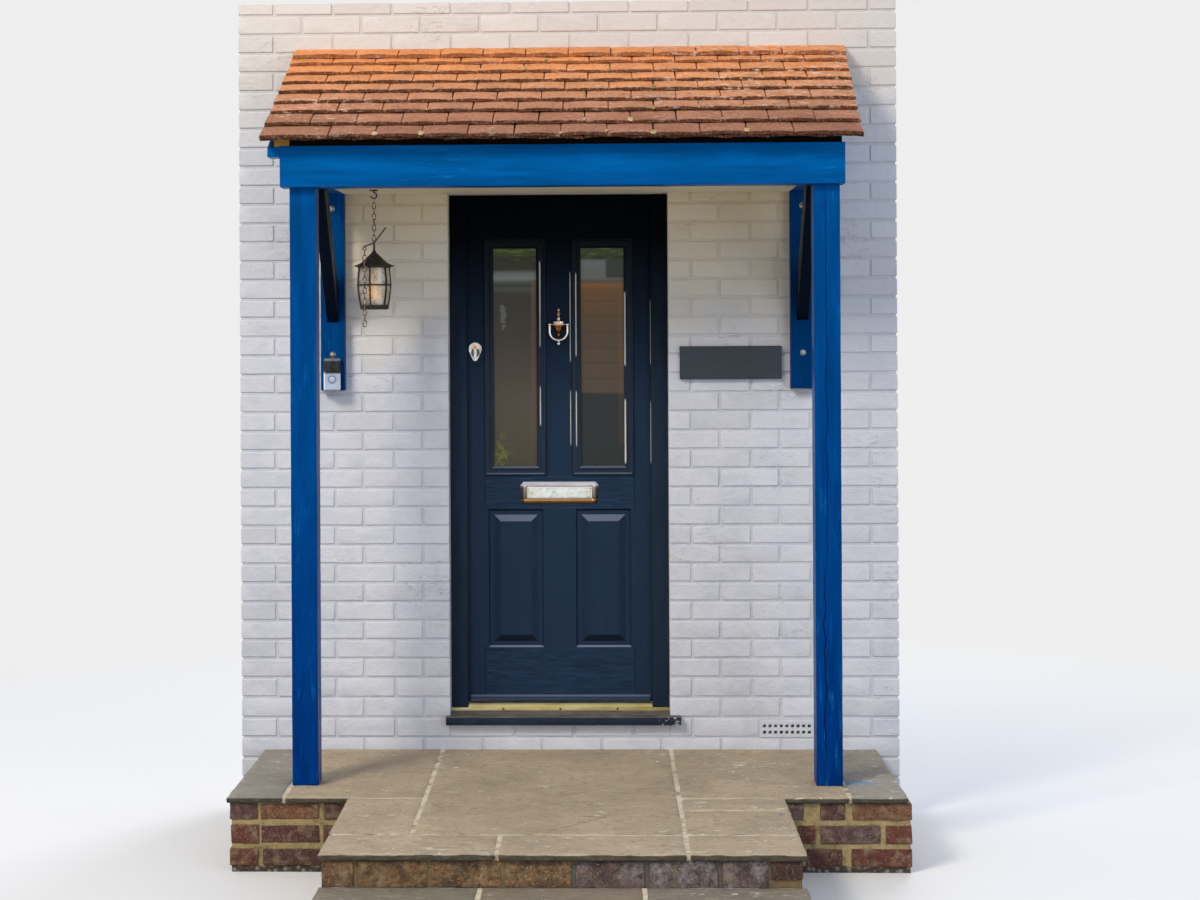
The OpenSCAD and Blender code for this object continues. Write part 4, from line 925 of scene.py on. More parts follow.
def iron():
    """Black iron with a dusty bloom."""
    tint = settings("lantern").iron
    f = Finish("iron", roughness=0.55, metallic=0.35)
    dust = f.noise(45.0, 5.0, 0.65)
    f.start(dust, (0.4, tint), (0.7, "4a423a"))
    f.rough(f.span(dust, 0.3, 0.7, 0.42, 0.7))
    f.bump(f.noise(120.0, 4.0, 0.6), 0.0008, 0.7)
    return f.done()


def threshold_metal():
    """Pale gold threshold with dull streaks and three dark screws."""
    low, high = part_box("door_threshold")
    f = Finish("gold_metal", metallic=0.55, roughness=0.36)
    streaks = f.noise(20.0, 5.0, 0.6, stretch=(0.4, 1.0, 2.0))
    f.start(streaks, (0.3, "a2935a"), (0.55, "cdbf84"), (0.75, "d9cfa6"))
    groove = f.band(f.z, (low.z + high.z) / 2 - 0.001, (low.z + high.z) / 2 + 0.0015, 0.0006)
    f.cover(f.times(groove, 0.7), "5f5230")
    for offset in (-0.228, 0.0, 0.228):
        spot = f.smudge((DOOR_X + offset, low.y, 0.413), (0.0055, 0.05, 0.0055), 0.1)
        f.cover(f.times(spot, 0.85), "3a3020")
    f.rough(f.span(streaks, 0.3, 0.7, 0.5, 0.3))
    f.bump(f.noise(160.0, 3.0, stretch=(0.4, 1.0, 2.0)), 0.0003, 0.5)
    return f.done()


def bell_finish():
    """Doorbell case: black window above, grey strips, and a silver-white face with a painted highlight along
    its left edge.
    """
    low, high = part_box("doorbell")
    f = Finish("bell_case", roughness=0.25)
    up = f.span(f.z, low.z, high.z)
    front = f.span(f.facing("Y"), -0.5, -0.8)
    face = f.ramp(
        up, (0.0, "8e949e"), (0.06, "b9c3d7"), (0.5, "a9b3c6"), (0.535, "5c6068"),
        (0.56, "0e1013"), (0.9, "15181c"), (0.935, "6a6f76"),
    )
    # Painted highlight along the left edge of the face.
    edge = f.span(f.x, low.x + 0.006, low.x + 0.004)
    face = f.blend(f.times(edge, f.span(up, 0.6, 0.5)), face, "eef1f6")
    side = f.ramp(f.noise(30.0, 3.0), (0.3, "17191c"), (0.7, "24272b"))
    f.base = f.blend(front, side, face)
    f.bump(f.noise(500.0, 2.0), 0.0002, 0.5)
    return f.done()


def knocker_metal():
    """Chrome with a band of worn brass round the urn below its rim."""
    f = Finish("knocker_metal", metallic=1.0, roughness=0.14)
    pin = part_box("knocker_ring")[1].z
    patches = f.noise(60.0, 5.0, 0.6)
    chrome = f.ramp(patches, (0.3, "9a948c"), (0.6, "dcd8d2"))
    brass = f.ramp(patches, (0.3, "8a4a1c"), (0.6, "d08a3c"))
    belly = f.band(f.z, pin - 0.052, pin - 0.006, 0.003)
    top = f.band(f.z, pin + 0.012, pin + 0.06, 0.01)
    f.base = f.blend(f.calc("MAXIMUM", belly, f.times(top, 0.45)), chrome, brass)
    f.rough(f.span(patches, 0.3, 0.7, 0.3, 0.1))
    f.bump(f.noise(180.0, 3.0), 0.0003, 0.5)
    return f.done()


def plate_metal():
    """Letterplate frame with painted reflections: bright along its top, brown and gold where it mirrors the
    ground and the sides.
    """
    low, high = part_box("letterplate")
    f = Finish("plate_metal", metallic=0.4, roughness=0.16)
    marks = f.noise(30.0, 5.0, 0.65, stretch=(0.6, 1.0, 1.6))
    up = f.span(f.z, low.z, high.z)
    # Painted reflection of the ground below and the sky above.
    f.start(
        up, (0.0, "5d4526"), (0.12, "a8763f"), (0.2, "c79a5e"), (0.24, "6b4d2c"),
        (0.3, "6d5c48"), (0.76, "a39c96"), (0.82, "e9e4f2"), (1.0, "fdfbff"),
    )
    away = f.apart(f.x, (low.x + high.x) / 2)
    reach = (high.x - low.x) / 2
    ends = f.times(f.span(away, reach * 0.88, reach * 0.92), f.span(up, 0.86, 0.72))
    f.cover(f.times(ends, 0.75), "33281c")
    f.tone(f.span(marks, 0.3, 0.7, 0.75, 1.15))
    f.rough(f.span(marks, 0.3, 0.7, 0.25, 0.1))
    f.bump(marks, 0.0002, 0.4)
    return f.done()


def latch_metal():
    """Chrome finger pull with a bright rim, painted shade in its hollow, a stem and a brass cylinder."""
    low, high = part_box("latch_pull")
    middle = (low + high) / 2
    f = Finish("latch_metal", metallic=1.0, roughness=0.16)
    patches = f.noise(70.0, 4.0, 0.6)
    f.start(patches, (0.35, "a8a5a4"), (0.6, "e4e2e2"))
    # Painted shade in the finger hollow.
    hollow_shade = f.smudge((middle.x, low.y, middle.z - 0.004), (0.02, 0.1, 0.021), 0.12)
    f.cover(f.times(hollow_shade, 0.85), "2a2c31")
    stem = f.times(f.band(f.x, middle.x - 0.005, middle.x + 0.005, 0.0015), hollow_shade)
    f.cover(f.times(stem, 0.8), "e6e6ea")
    cylinder = f.smudge((middle.x, low.y, middle.z + 0.018), (0.009, 0.1, 0.009), 0.08)
    f.cover(cylinder, "d99a4e")
    f.rough(f.span(patches, 0.3, 0.7, 0.3, 0.12))
    f.bump(f.noise(180.0, 3.0), 0.0003, 0.5)
    return f.done()


def flap_metal():
    """Letter flap that mirrors the bright garden, yellower at its ends."""
    low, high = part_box("letter_flap")
    f = Finish("flap_metal", metallic=0.5, roughness=0.16)
    marks = f.noise(30.0, 5.0, 0.65, stretch=(1.0, 1.0, 1.6), distortion=1.5)
    f.start(marks, (0.3, "b9beb4"), (0.5, "e6ebe4"), (0.75, "ffffff"))
    away = f.apart(f.x, (low.x + high.x) / 2)
    reach = (high.x - low.x) / 2
    ends = f.times(f.span(away, reach * 0.75, reach * 0.97), f.span(f.noise(60.0, 4.0), 0.35, 0.6))
    f.cover(f.times(ends, 0.75), "a89a2a")
    f.bump(marks, 0.0003, 0.4)
    return f.done()


def door_pane():
    """Double glazing over a dark hall, with a painted reflection of the garden opposite."""
    low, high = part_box("door_glass")
    f = Finish("door_pane", roughness=0.05, specular_ior_level=0.3)
    up = f.span(f.z, low.z, high.z)
    right = f.calc("GREATER_THAN", f.x, DOOR_X)
    wobble = f.span(f.noise(3.0, 2.0, stretch=(0.4, 1.0, 1.0)), 0.3, 0.7, -0.006, 0.006)
    level = f.calc("ADD", up, wobble)
    # Painted reflection of the garden, one picture for each pane.
    left_reflection = f.ramp(
        level, (0.0, "45402f"), (0.3, "544b3f"), (0.79, "3d392d"), (0.805, "55564a"), (0.825, "3f4439"),
        (0.84, "5a5f55"), (0.855, "8b8f88"), (0.88, "767a72"), (0.895, "35321c"), (0.95, "2b280f"),
        (0.96, "3b4a10"), (1.0, "333f10"),
    )
    right_reflection = f.ramp(
        level, (0.0, "242a22"), (0.1, "252a2c"), (0.335, "292e2e"), (0.345, "554a3a"), (0.62, "66523a"),
        (0.8, "7e5832"), (0.825, "9a6634"), (0.84, "6a5a48"), (0.855, "74776f"), (0.93, "7e827b"),
        (0.945, "272c1c"), (0.965, "3c4a18"), (1.0, "3f4c14"),
    )
    boards = f.calc("PINGPONG", level, 0.034)
    lines = f.times(f.span(boards, 0.006, 0.0), f.band(up, 0.37, 0.8, 0.01), 0.3)
    right_reflection = f.blend(lines, right_reflection, "35281e")
    reflected_dark_tree = f.times(f.band(up, 0.855, 0.94, 0.006), f.span(f.x, DOOR_X + 0.185, DOOR_X + 0.195))
    right_reflection = f.blend(f.times(reflected_dark_tree, 0.85), right_reflection, "2c3322")
    f.base = f.blend(right, left_reflection, right_reflection)
    left = f.calc("SUBTRACT", 1.0, right)
    side = f.times(f.calc("SUBTRACT", f.apart(f.x, DOOR_X), 0.175), f.span(right, 0.0, 1.0, -1.0, 1.0))
    fade = f.span(up, 0.25, 0.8, 0.1, 0.55)
    # Painted reflection: a brown strip near each pane's outer side, and grey mist and leaves on the left
    # pane.
    f.cover(f.times(f.span(side, 0.060, 0.068), f.band(up, 0.1, 0.845, 0.02), fade), "83603c")
    reflected_mist = f.times(f.smudge((DOOR_X - 0.222, low.y, 1.98), (0.014, 0.2, 0.05), 0.9), left)
    f.cover(f.times(reflected_mist, 0.5), "868b86")
    reflected_leaves = f.times(f.patches(46.0, 4.0, 0.7, 0.48, 0.6), f.span(up, 0.2, 0.04), f.span(side, 0.0, -0.05))
    f.cover(f.times(reflected_leaves, left, 0.8), "6d7a30")
    reflected_top_leaves = f.span(f.noise(34.0, 4.0, 0.6, stretch=(0.5, 1.0, 2.0)), 0.5, 0.64)
    f.cover(f.times(f.times(reflected_top_leaves, f.span(up, 0.93, 0.97)), 0.8), "6d7c1c")
    f.cover(f.span(f.facing("Y"), 0.2, 0.5), f.ramp(up, (0.0, "4b4f4c"), (1.0, "34383a")))
    f.bump(f.noise(2.5, 2.0), 0.002, 0.3)
    return f.done()


def button_finish():
    """Push button of the same grey as the doorbell's face, with a darker ring."""
    low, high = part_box("bell_button")
    middle = (low + high) / 2
    f = Finish("button_finish", roughness=0.3)
    away = f.vector("DISTANCE", f.place, (middle.x, low.y, middle.z), "Value")
    reach = (high.x - low.x) / 2
    ring = f.band(away, reach * 0.68, reach * 0.9, reach * 0.06)
    f.start(f.noise(40.0, 3.0), (0.3, "aeb8cc"), (0.7, "bcc6d9"))
    f.cover(ring, "5d7196")
    f.bump(f.noise(500.0, 2.0), 0.0002, 0.5)
    return f.done()


def chain_iron():
    """Black iron of the chain, with rust-brown wear and cream patches as painted glints where the links catch
    the light.
    """
    f = Finish("chain_iron", metallic=0.3, roughness=0.5)
    wear_and_glint = f.noise(140.0, 3.0, 0.6)
    # Rust-brown wear, and cream patches as painted glints.
    f.start(wear_and_glint, (0.44, "1d1a18"), (0.51, "5a4536"), (0.57, "cdb98f"))
    f.bump(wear_and_glint, 0.0006, 0.8)
    return f.done()


def lantern_pane():
    """Mottled cream glass lit from within, with painted highlights as bright vertical gleams."""
    tint = settings("lantern").glass
    f = Finish("lantern_pane", roughness=0.18, transmission_weight=0.35, ior=1.45)
    mottle = f.noise(60.0, 4.0, 0.6, distortion=1.2)
    f.start(mottle, (0.3, "8f8468"), (0.5, tint), (0.66, "f8f2e2"))
    low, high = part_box("lantern_glass")
    middle = (low + high) / 2
    away = f.apart(f.x, middle.x)
    # Painted highlight: bright vertical gleams on the glass.
    painted_gleam = f.times(f.band(away, 0.02, 0.034, 0.004), f.span(f.noise(24.0, 3.0), 0.4, 0.55))
    f.cover(f.times(painted_gleam, 0.8), "fffdf6")
    glow = f.smudge((middle.x, middle.y, low.z + 0.055), (0.03, 0.2, 0.035), 0.6)
    f.shader.inputs["Emission Color"].default_value = opaque("e8a650")
    f.feed("Emission Strength", f.times(glow, 0.22))
    f.bump(mottle, 0.003, 0.9)
    return f.done()


def bulb_glow():
    """Warm bulb."""
    f = Finish("bulb_glow", roughness=0.4, base_color=opaque("f4d9a0"))
    f.shader.inputs["Emission Color"].default_value = opaque("ffc878")
    f.shader.inputs["Emission Strength"].default_value = settings("lantern").glow
    f.bump(f.noise(90.0, 2.0), 0.0005, 0.5)
    return f.done()


# House wall


def bed_height(course_number):
    """Height of the bed under a course: even above the landing, a little taller near the ground."""
    course = settings("masonry").course
    first_bed, even_from, low_course = 0.026, 7, 0.079
    if course_number >= even_from:
        return first_bed + course * course_number
    return first_bed + course * even_from - low_course * (even_from - course_number)


def wall_bricks():
    """Blocks of the outer leaf: stretchers, with headers at the corner, round the door and the air brick."""
    masonry = settings("masonry")
    chance = random.Random(4)
    half = masonry.joint / 2
    depth = masonry.brick_depth
    pitch = masonry.brick_length + masonry.joint
    least = 0.05
    vent_low, vent_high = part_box("air_brick")
    blocks = []
    number = -1
    while bed_height(number) < WALL_TOP - half:
        low = max(0.001, bed_height(number) + half)
        high = min(WALL_TOP, bed_height(number + 1) - half)
        header = number % 2 == 0
        first = WALL_X - (depth + half if header else pitch - half)
        spans = [(-WALL_X, WALL_X, low, high)]
        if low < DOOR_HIGH.z and high > DOOR_LOW.z:
            spans = [(-WALL_X, DOOR_LOW.x, low, high), (DOOR_HIGH.x, WALL_X, low, high)]
            if low < DOOR_LOW.z:
                spans.append((DOOR_LOW.x, DOOR_HIGH.x, low, DOOR_LOW.z))
            if high > DOOR_HIGH.z:
                spans.append((DOOR_LOW.x, DOOR_HIGH.x, DOOR_HIGH.z, high))
        if abs((low + high) / 2 - (vent_low.z + vent_high.z) / 2) < masonry.course / 2:
            spans = [s for s in spans if s[1] < WALL_X]
            spans += [(DOOR_HIGH.x, vent_low.x - half, low, high), (vent_high.x + half, WALL_X, low, high)]
        joints = [first - pitch * i for i in range(13)]
        for x0, x1, z0, z1 in spans:
            cuts = sorted(x for x in joints if x0 + least < x < x1 - least)
            edges = [x0 - half, *cuts, x1 + half]
            for left, right in zip(edges, edges[1:]):
                at_corner = max(-left, right) > WALL_X
                back = FACE_Y + (masonry.brick_length if header and at_corner else depth)
                sunk = chance.uniform(0.0, 0.0012)
                blocks.append(block_point(
                    (left + half, FACE_Y + sunk, z0), (right - half, back, z1), chance.random()
                ))
        for side in (-1, 1):
            start = FACE_Y + (masonry.brick_length if header else depth) + masonry.joint
            x0, x1 = sorted((side * WALL_X, side * (WALL_X - depth)))
            blocks.append(block_point((x0, start, low), (x1, WALL_BACK - 0.0015, high), chance.random()))
        number += 1
    return blocks


class PORCH_OT_wall(bpy.types.Operator):
    """Builds the painted brick wall with its recessed joints and plastered back"""

    bl_idname = "porch.wall"
    bl_label = "House wall"

    def execute(self, context):
        masonry = settings("masonry")
        nodes = ("wall_left", "wall_right", "wall_over_door", "wall_under_door")
        core = copied(*nodes)
        depth = masonry.joint_depth
        for v in core.verts:
            if v.co.y < FACE_Y + 1e-4:
                v.co.y += depth
            if abs(v.co.x) > WALL_X - 1e-4:
                v.co.x -= math.copysign(depth, v.co.x)
            if v.co.z > WALL_TOP - 1e-4:
                v.co.z -= depth
        wall = piece("wall_mortar", core, wall_paint("joint_paint", 0.97), "house", nodes)
        wall.data.materials.append(plaster())
        for face in wall.data.polygons:
            if face.center.y > WALL_BACK - 1e-4:
                face.material_index = 1
        unit = brick_unit(masonry.brick_length, masonry.brick_depth, 0.065, 0.004)
        lay(
            "wall_bricks", unit, wall_bricks(), wall_paint(), "house",
            tilt=0.005, wear=0.0026, wear_scale=24.0, seed=3,
        )
        return {"FINISHED"}


class PORCH_OT_wall_fittings(bpy.types.Operator):
    """Finishes the air brick and the slate plaque"""

    bl_idname = "porch.wall_fittings"
    bl_label = "Air brick and plaque"

    def execute(self, context):
        paint = bpy.data.materials["wall_paint"]
        dress("air_brick", "air_brick_face", paint, "house", 0.0012, 1)
        low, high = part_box("name_plaque")
        slab = round_edges(box_mesh(low, high), 0.002, 1)
        slice_along(slab, 0, 0.012)
        slice_along(slab, 2, 0.012)
        for v in slab.verts:
            rim = min(v.co.x - low.x, high.x - v.co.x, v.co.z - low.z, high.z - v.co.z)
            chip = max(0.0, noise.noise(v.co * 70)) * 0.004 * max(0.0, 1 - rim / 0.008)
            riven = noise.fractal(v.co * 14, 1.0, 2.0, 4) * 0.0012
            if v.co.y < high.y - 0.004:
                v.co.y = max(low.y, v.co.y + chip + 0.001 + riven)
        piece("slate_plaque", slab, slate(), "house", ["name_plaque"])
        return {"FINISHED"}


# Landing


def run_of_bricks(start, end, course_edges, parity, trims, tone, chance):
    """Bricks along a line in plan. trims gives how far even and odd courses stay back from each end."""
    start, end = Vector((*start, 0)), Vector((*end, 0))
    along = (end - start).normalized()
    length = (end - start).length
    outward = Vector((along.y, -along.x, 0))
    brick, header, joint, depth = 0.215, 0.1025, 0.013, 0.1
    angle = math.atan2(along.y, along.x)
    points = []
    for number, (z0, z1) in enumerate(course_edges):
        odd = (number + parity) % 2
        place, stop = trims[0][odd], length - trims[1][odd]
        piece_length = header if odd else brick
        while place < stop - 0.02:
            reach = min(place + piece_length * chance.uniform(0.96, 1.02), stop)
            if stop - reach < 0.035:
                reach = stop
            inward = depth / 2 + chance.uniform(0.0, 0.004)
            middle = start + along * ((place + reach) / 2) - outward * inward
            middle.z = (z0 + z1) / 2
            extent = (reach - place, depth, (z1 - z0) * chance.uniform(0.94, 1.0))
            points.append((middle, extent, (0.0, 0.0, angle), tone(middle, number, chance)))
            place = reach + joint * chance.uniform(0.8, 1.5)
            piece_length = brick
    return points


def slab_tone(low, high):
    """Tone of a flag by its place: grey on the wings and step, warm behind, warmest along the front."""
    middle = (low + high) / 2
    if high.z < 0.2:
        return 0.3
    if abs(middle.x) > 0.85:
        return 0.1
    if middle.y < -0.5:
        return 1.0
    return 0.7 if abs(middle.x) < 0.3 else 0.85


def stone_slabs(node, seed):
    """One worn flag for each solid of a node, with riven tops and chipped edges."""
    source = copied(node)
    chance = random.Random(seed)
    boxes = []
    left = set(source.verts)
    while left:
        group, queue = set(), [min(left, key=lambda v: v.index)]
        while queue:
            v = queue.pop()
            if v in group:
                continue
            group.add(v)
            queue += [e.other_vert(v) for e in v.link_edges]
        left -= group
        boxes.append((
            Vector([min(v.co[i] for v in group) for i in range(3)]),
            Vector([max(v.co[i] for v in group) for i in range(3)]),
        ))
    source.free()
    bm = bmesh.new()
    layer = bm.verts.layers.float.new("tone")
    for low, high in sorted(boxes, key=lambda b: (round(b[0].x, 3), round(b[0].y, 3))):
        slab = round_edges(box_mesh(low, high), 0.004, 2)
        slice_along(slab, 0, 0.02)
        slice_along(slab, 1, 0.02)
        own = chance.random()
        shift = Vector((own * 40, own * 17, 0))
        for v in slab.verts:
            p = v.co + shift
            rim = min(v.co.x - low.x, high.x - v.co.x, v.co.y - low.y, high.y - v.co.y)
            broad = noise.fractal(p * 5, 1.0, 2.0, 3)
            fine = noise.fractal(p * 30, 1.0, 2.0, 3)
            edge = max(0.0, 1 - rim / 0.03)
            if v.co.z > low.z + 0.006:
                v.co.z -= 0.0012 + 0.0010 * broad + 0.0008 * fine + edge * edge * 0.0022
            if rim < 0.004:
                bite = max(0.0, 0.0015 + 0.003 * noise.noise(p * 11) + 0.0025 * noise.noise(p * 45))
                middle = (low + high) / 2
                if v.co.x - low.x < 0.004 or high.x - v.co.x < 0.004:
                    v.co.x += bite * (1 if v.co.x < middle.x else -1)
                if v.co.y - low.y < 0.004 or high.y - v.co.y < 0.004:
                    v.co.y += bite * (1 if v.co.y < middle.y else -1)
        start = len(bm.verts)
        join(bm, slab)
        bm.verts.ensure_lookup_table()
        layer = bm.verts.layers.float["tone"]
        tone = slab_tone(low, high) + (own - 0.5) * 0.1
        for v in bm.verts[start:]:
            v[layer] = tone
    return bm


def wing_tone(middle, course, chance):
    """Tone of a brick in the wings: brown and purple on top, redder below."""
    if course == 2:
        return chance.choice((0.15, 0.22, 0.68, 0.74))
    return chance.uniform(0.16, 0.5)


def riser_tone(middle, course, chance):
    """Tone of a brick in the riser: buff at the left, grey purple in the middle, reddish at the right."""
    if middle.x < -0.07:
        return chance.choice((0.82, 0.88, 0.92))
    if middle.x < 0.62:
        return chance.choice((0.0, 0.04, 0.08))
    return chance.uniform(0.55, 0.7)


class PORCH_OT_landing(bpy.types.Operator):
    """Builds the brick plinths, the flagstones and the pointing"""

    bl_idname = "porch.landing"
    bl_label = "Landing and step"

    def execute(self, context):
        mortar_finish, stone = mortar(), flagstone()
        recess = 0.006
        for node in ("landing_plinth", "step_plinth"):
            core = copied(node)
            for v in core.verts:
                if v.co.y < FACE_Y - 1e-3:
                    v.co.y += recess
                if abs(v.co.x) > 1e-3:
                    v.co.x -= math.copysign(recess, v.co.x)
            slice_along(core, 0, 0.05)
            slice_along(core, 2, 0.05)
            wander(core, 0.002, 20.0)
            piece(node + "_mortar", core, mortar_finish, "house", [node])
        self.lay_bricks(old_brick())
        slabs = stone_slabs("landing_slabs", 5)
        piece("landing_flags", slabs, stone, "house", ["landing_slabs"], sharp=50.0)
        treads = stone_slabs("step_slabs", 8)
        piece("step_flags", treads, stone, "house", ["step_slabs"], sharp=50.0)
        self.point_joints()
        return {"FINISHED"}

    def lay_bricks(self, brick):
        """Lays the facing bricks round both plinths, and one by one on the front of the right wing."""
        chance = random.Random(11)
        wing_low, wing_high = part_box("landing_plinth")
        step_low, step_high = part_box("step_plinth")
        wing_y = self.wing_front()
        riser_y = wing_low.y
        courses = [(0.022, 0.085), (0.103, 0.168), (0.187, 0.245)]
        back = 0.112
        keep = (0.0, 0.0)
        runs = [
            ((wing_low.x, FACE_Y), (wing_low.x, wing_y), keep, (0.0, back), wing_tone),
            ((wing_low.x, wing_y), (step_low.x, wing_y), (back, 0.0), keep, wing_tone),
            ((step_low.x, wing_y), (step_low.x, riser_y), keep, (0.0, back), wing_tone),
            ((step_low.x, riser_y), (step_high.x, riser_y), (back, 0.0), (0.0, back), riser_tone),
            ((step_high.x, riser_y), (step_high.x, wing_y), (back, 0.0), keep, wing_tone),
            ((wing_high.x, wing_y), (wing_high.x, FACE_Y), (back, back), keep, wing_tone),
        ]
        points = []
        for begin, finish, first, last, tone in runs:
            edges = [courses[0], (0.103, 0.150), (0.158, 0.246)] if tone is riser_tone else courses
            points += run_of_bricks(begin, finish, edges, 1, (first, last), tone, chance)
        low_runs = [
            ((step_low.x, riser_y), (step_low.x, step_low.y), keep, (0.0, back)),
            ((step_low.x, step_low.y), (step_high.x, step_low.y), (back, 0.0), (0.0, back)),
            ((step_high.x, step_low.y), (step_high.x, riser_y), (back, 0.0), keep),
        ]
        for begin, finish, first, last in low_runs:
            low_courses = [(0.004, 0.066), (0.078, 0.141)]
            points += run_of_bricks(begin, finish, low_courses, 0, (first, last), riser_tone, chance)
        left, right = step_high.x + 0.004, wing_high.x
        right_front = [
            (2, left, 0.840, 0.12), (2, 0.900, 0.987, 0.2), (2, 1.013, right, 0.72),
            (1, left, 0.808, 0.3), (1, 0.822, 0.882, 0.45), (1, 0.899, 1.111, 0.13), (1, 1.130, right, 0.5),
            (0, left, 0.836, 0.4), (0, 0.852, 0.976, 0.34), (0, 1.008, right, 0.46),
        ]
        for course, x0, x1, tone in right_front:
            z0, z1 = courses[course]
            points.append(block_point((x0, wing_y + 0.001, z0), (x1, wing_y + 0.1, z1), tone))
        unit = brick_unit(0.215, 0.1, 0.065, 0.004, (8, 1, 3))
        lay(
            "plinth_bricks", unit, points, brick, "house",
            tilt=0.010, wear=0.007, wear_scale=22.0, seed=7,
        )

    def wing_front(self):
        """Y of the wings' brick face, read from the plinth's own outline."""
        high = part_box("landing_plinth")[1]
        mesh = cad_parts["landing_plinth"].data
        return min(v.co.y for v in mesh.vertices if v.co.x > high.x - 1e-3)

    def point_joints(self):
        """Fills the joints between the flags to just under their tops."""
        sunk, inset = 0.004, 0.014
        slabs_low, slabs_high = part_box("landing_slabs")
        bed = copied("landing_plinth")
        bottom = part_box("landing_plinth")[1].z
        for v in bed.verts:
            v.co.z = slabs_high.z - sunk if v.co.z > bottom - 1e-3 else bottom - 0.001
            v.co.x = max(slabs_low.x + inset, min(slabs_high.x - inset, v.co.x))
        slice_along(bed, 0, 0.04)
        slice_along(bed, 1, 0.04)
        wander(bed, 0.0012, 25.0)
        finish = pointing()
        piece("landing_pointing", bed, finish, "house")
        step_low, step_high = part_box("step_slabs")
        corners = (
            (step_low.x + inset, step_low.y + inset, step_low.z - 0.001),
            (step_high.x - inset, step_high.y - 0.001, step_high.z - sunk),
        )
        bed = box_mesh(*corners)
        slice_along(bed, 0, 0.04)
        wander(bed, 0.0012, 25.0)
        piece("step_pointing", bed, finish, "house")


# Canopy timber


class PORCH_OT_timbers(bpy.types.Operator):
    """Builds the posts, beam, rails, braces, rafters and boards with worn edges and brushed paint"""

    bl_idname = "porch.timbers"
    bl_label = "Canopy timbers"

    def execute(self, context):
        edge = settings("timber").edge
        # The third number is a painted shade level: the wall posts darker, the braces black.
        pieces = [
            ("post_left", 2, 1.0), ("post_right", 2, 1.0), ("front_beam", 0, 1.0), ("side_rails", 1, 1.0),
            ("wall_post_left", 2, 0.8), ("wall_post_right", 2, 0.55), ("brace_left", 2, 0.0),
            ("brace_right", 2, 0.0), ("wall_plate", 0, 1.0), ("rafters", 1, 1.0), ("barge_left", 1, 1.0),
            ("barge_right", 1, 1.0), ("side_cheeks", 1, 1.0),
        ]
        for number, (node, axis, level) in enumerate(pieces):
            bm = round_edges(copied(node), edge, 2)
            slice_along(bm, axis, 0.06)
            wander(bm, 0.0009, 9.0, number * 3.1)
            paint = paint_along(axis, node == "post_right", level)
            piece(node + "_timber", bm, paint, "house", [node])
        dress("ceiling_board", "ceiling", ceiling_paint(), "house", 0.0015, 1)
        steel = metal("bolt_metal", "b4b2ad", 0.25)
        dress("coach_bolts", "bolts", steel, "house", 0.0006, 1, 50.0, sharp=40.0)
        dress("tile_battens", "battens", bare_timber(), "house", 0.0015, 1)
        return {"FINISHED"}


# Roof


def tile_unit(width, length, thickness, camber):
    """A cambered tile that runs along +Y from its origin, which is under the middle of its tail."""
    columns, rows = 14, 5
    bm = bmesh.new()
    tail = bm.verts.layers.float.new("tail")
    grid = {}
    for side in (0, 1):
        for i in range(columns + 1):
            for j in range(rows + 1):
                u, v = i / columns, j / rows
                y = length * v ** 1.6
                rise = camber * (1 - (2 * u - 1) ** 2) * (1 - v)
                inset = 0.0012 if side and (i in (0, columns)) else 0.0
                x = (u - 0.5) * width + inset * (1 if i == 0 else -1)
                z = rise + side * thickness - (0.0015 if side and j == 0 else 0.0)
                vert = bm.verts.new((x, y, z))
                vert[tail] = max(0.0, 1 - y / 0.02)
                grid[side, i, j] = vert
    for i in range(columns):
        for j in range(rows):
            bm.faces.new([grid[1, i, j], grid[1, i + 1, j], grid[1, i + 1, j + 1], grid[1, i, j + 1]])
            bm.faces.new([grid[0, i, j], grid[0, i, j + 1], grid[0, i + 1, j + 1], grid[0, i + 1, j]])
        bm.faces.new([grid[0, i, 0], grid[0, i + 1, 0], grid[1, i + 1, 0], grid[1, i, 0]])
        bm.faces.new([grid[0, i + 1, rows], grid[0, i, rows], grid[1, i, rows], grid[1, i + 1, rows]])
    for j in range(rows):
        bm.faces.new([grid[0, 0, j + 1], grid[0, 0, j], grid[1, 0, j], grid[1, 0, j + 1]])
        bm.faces.new([
            grid[0, columns, j], grid[0, columns, j + 1], grid[1, columns, j + 1], grid[1, columns, j]
        ])
    return bm


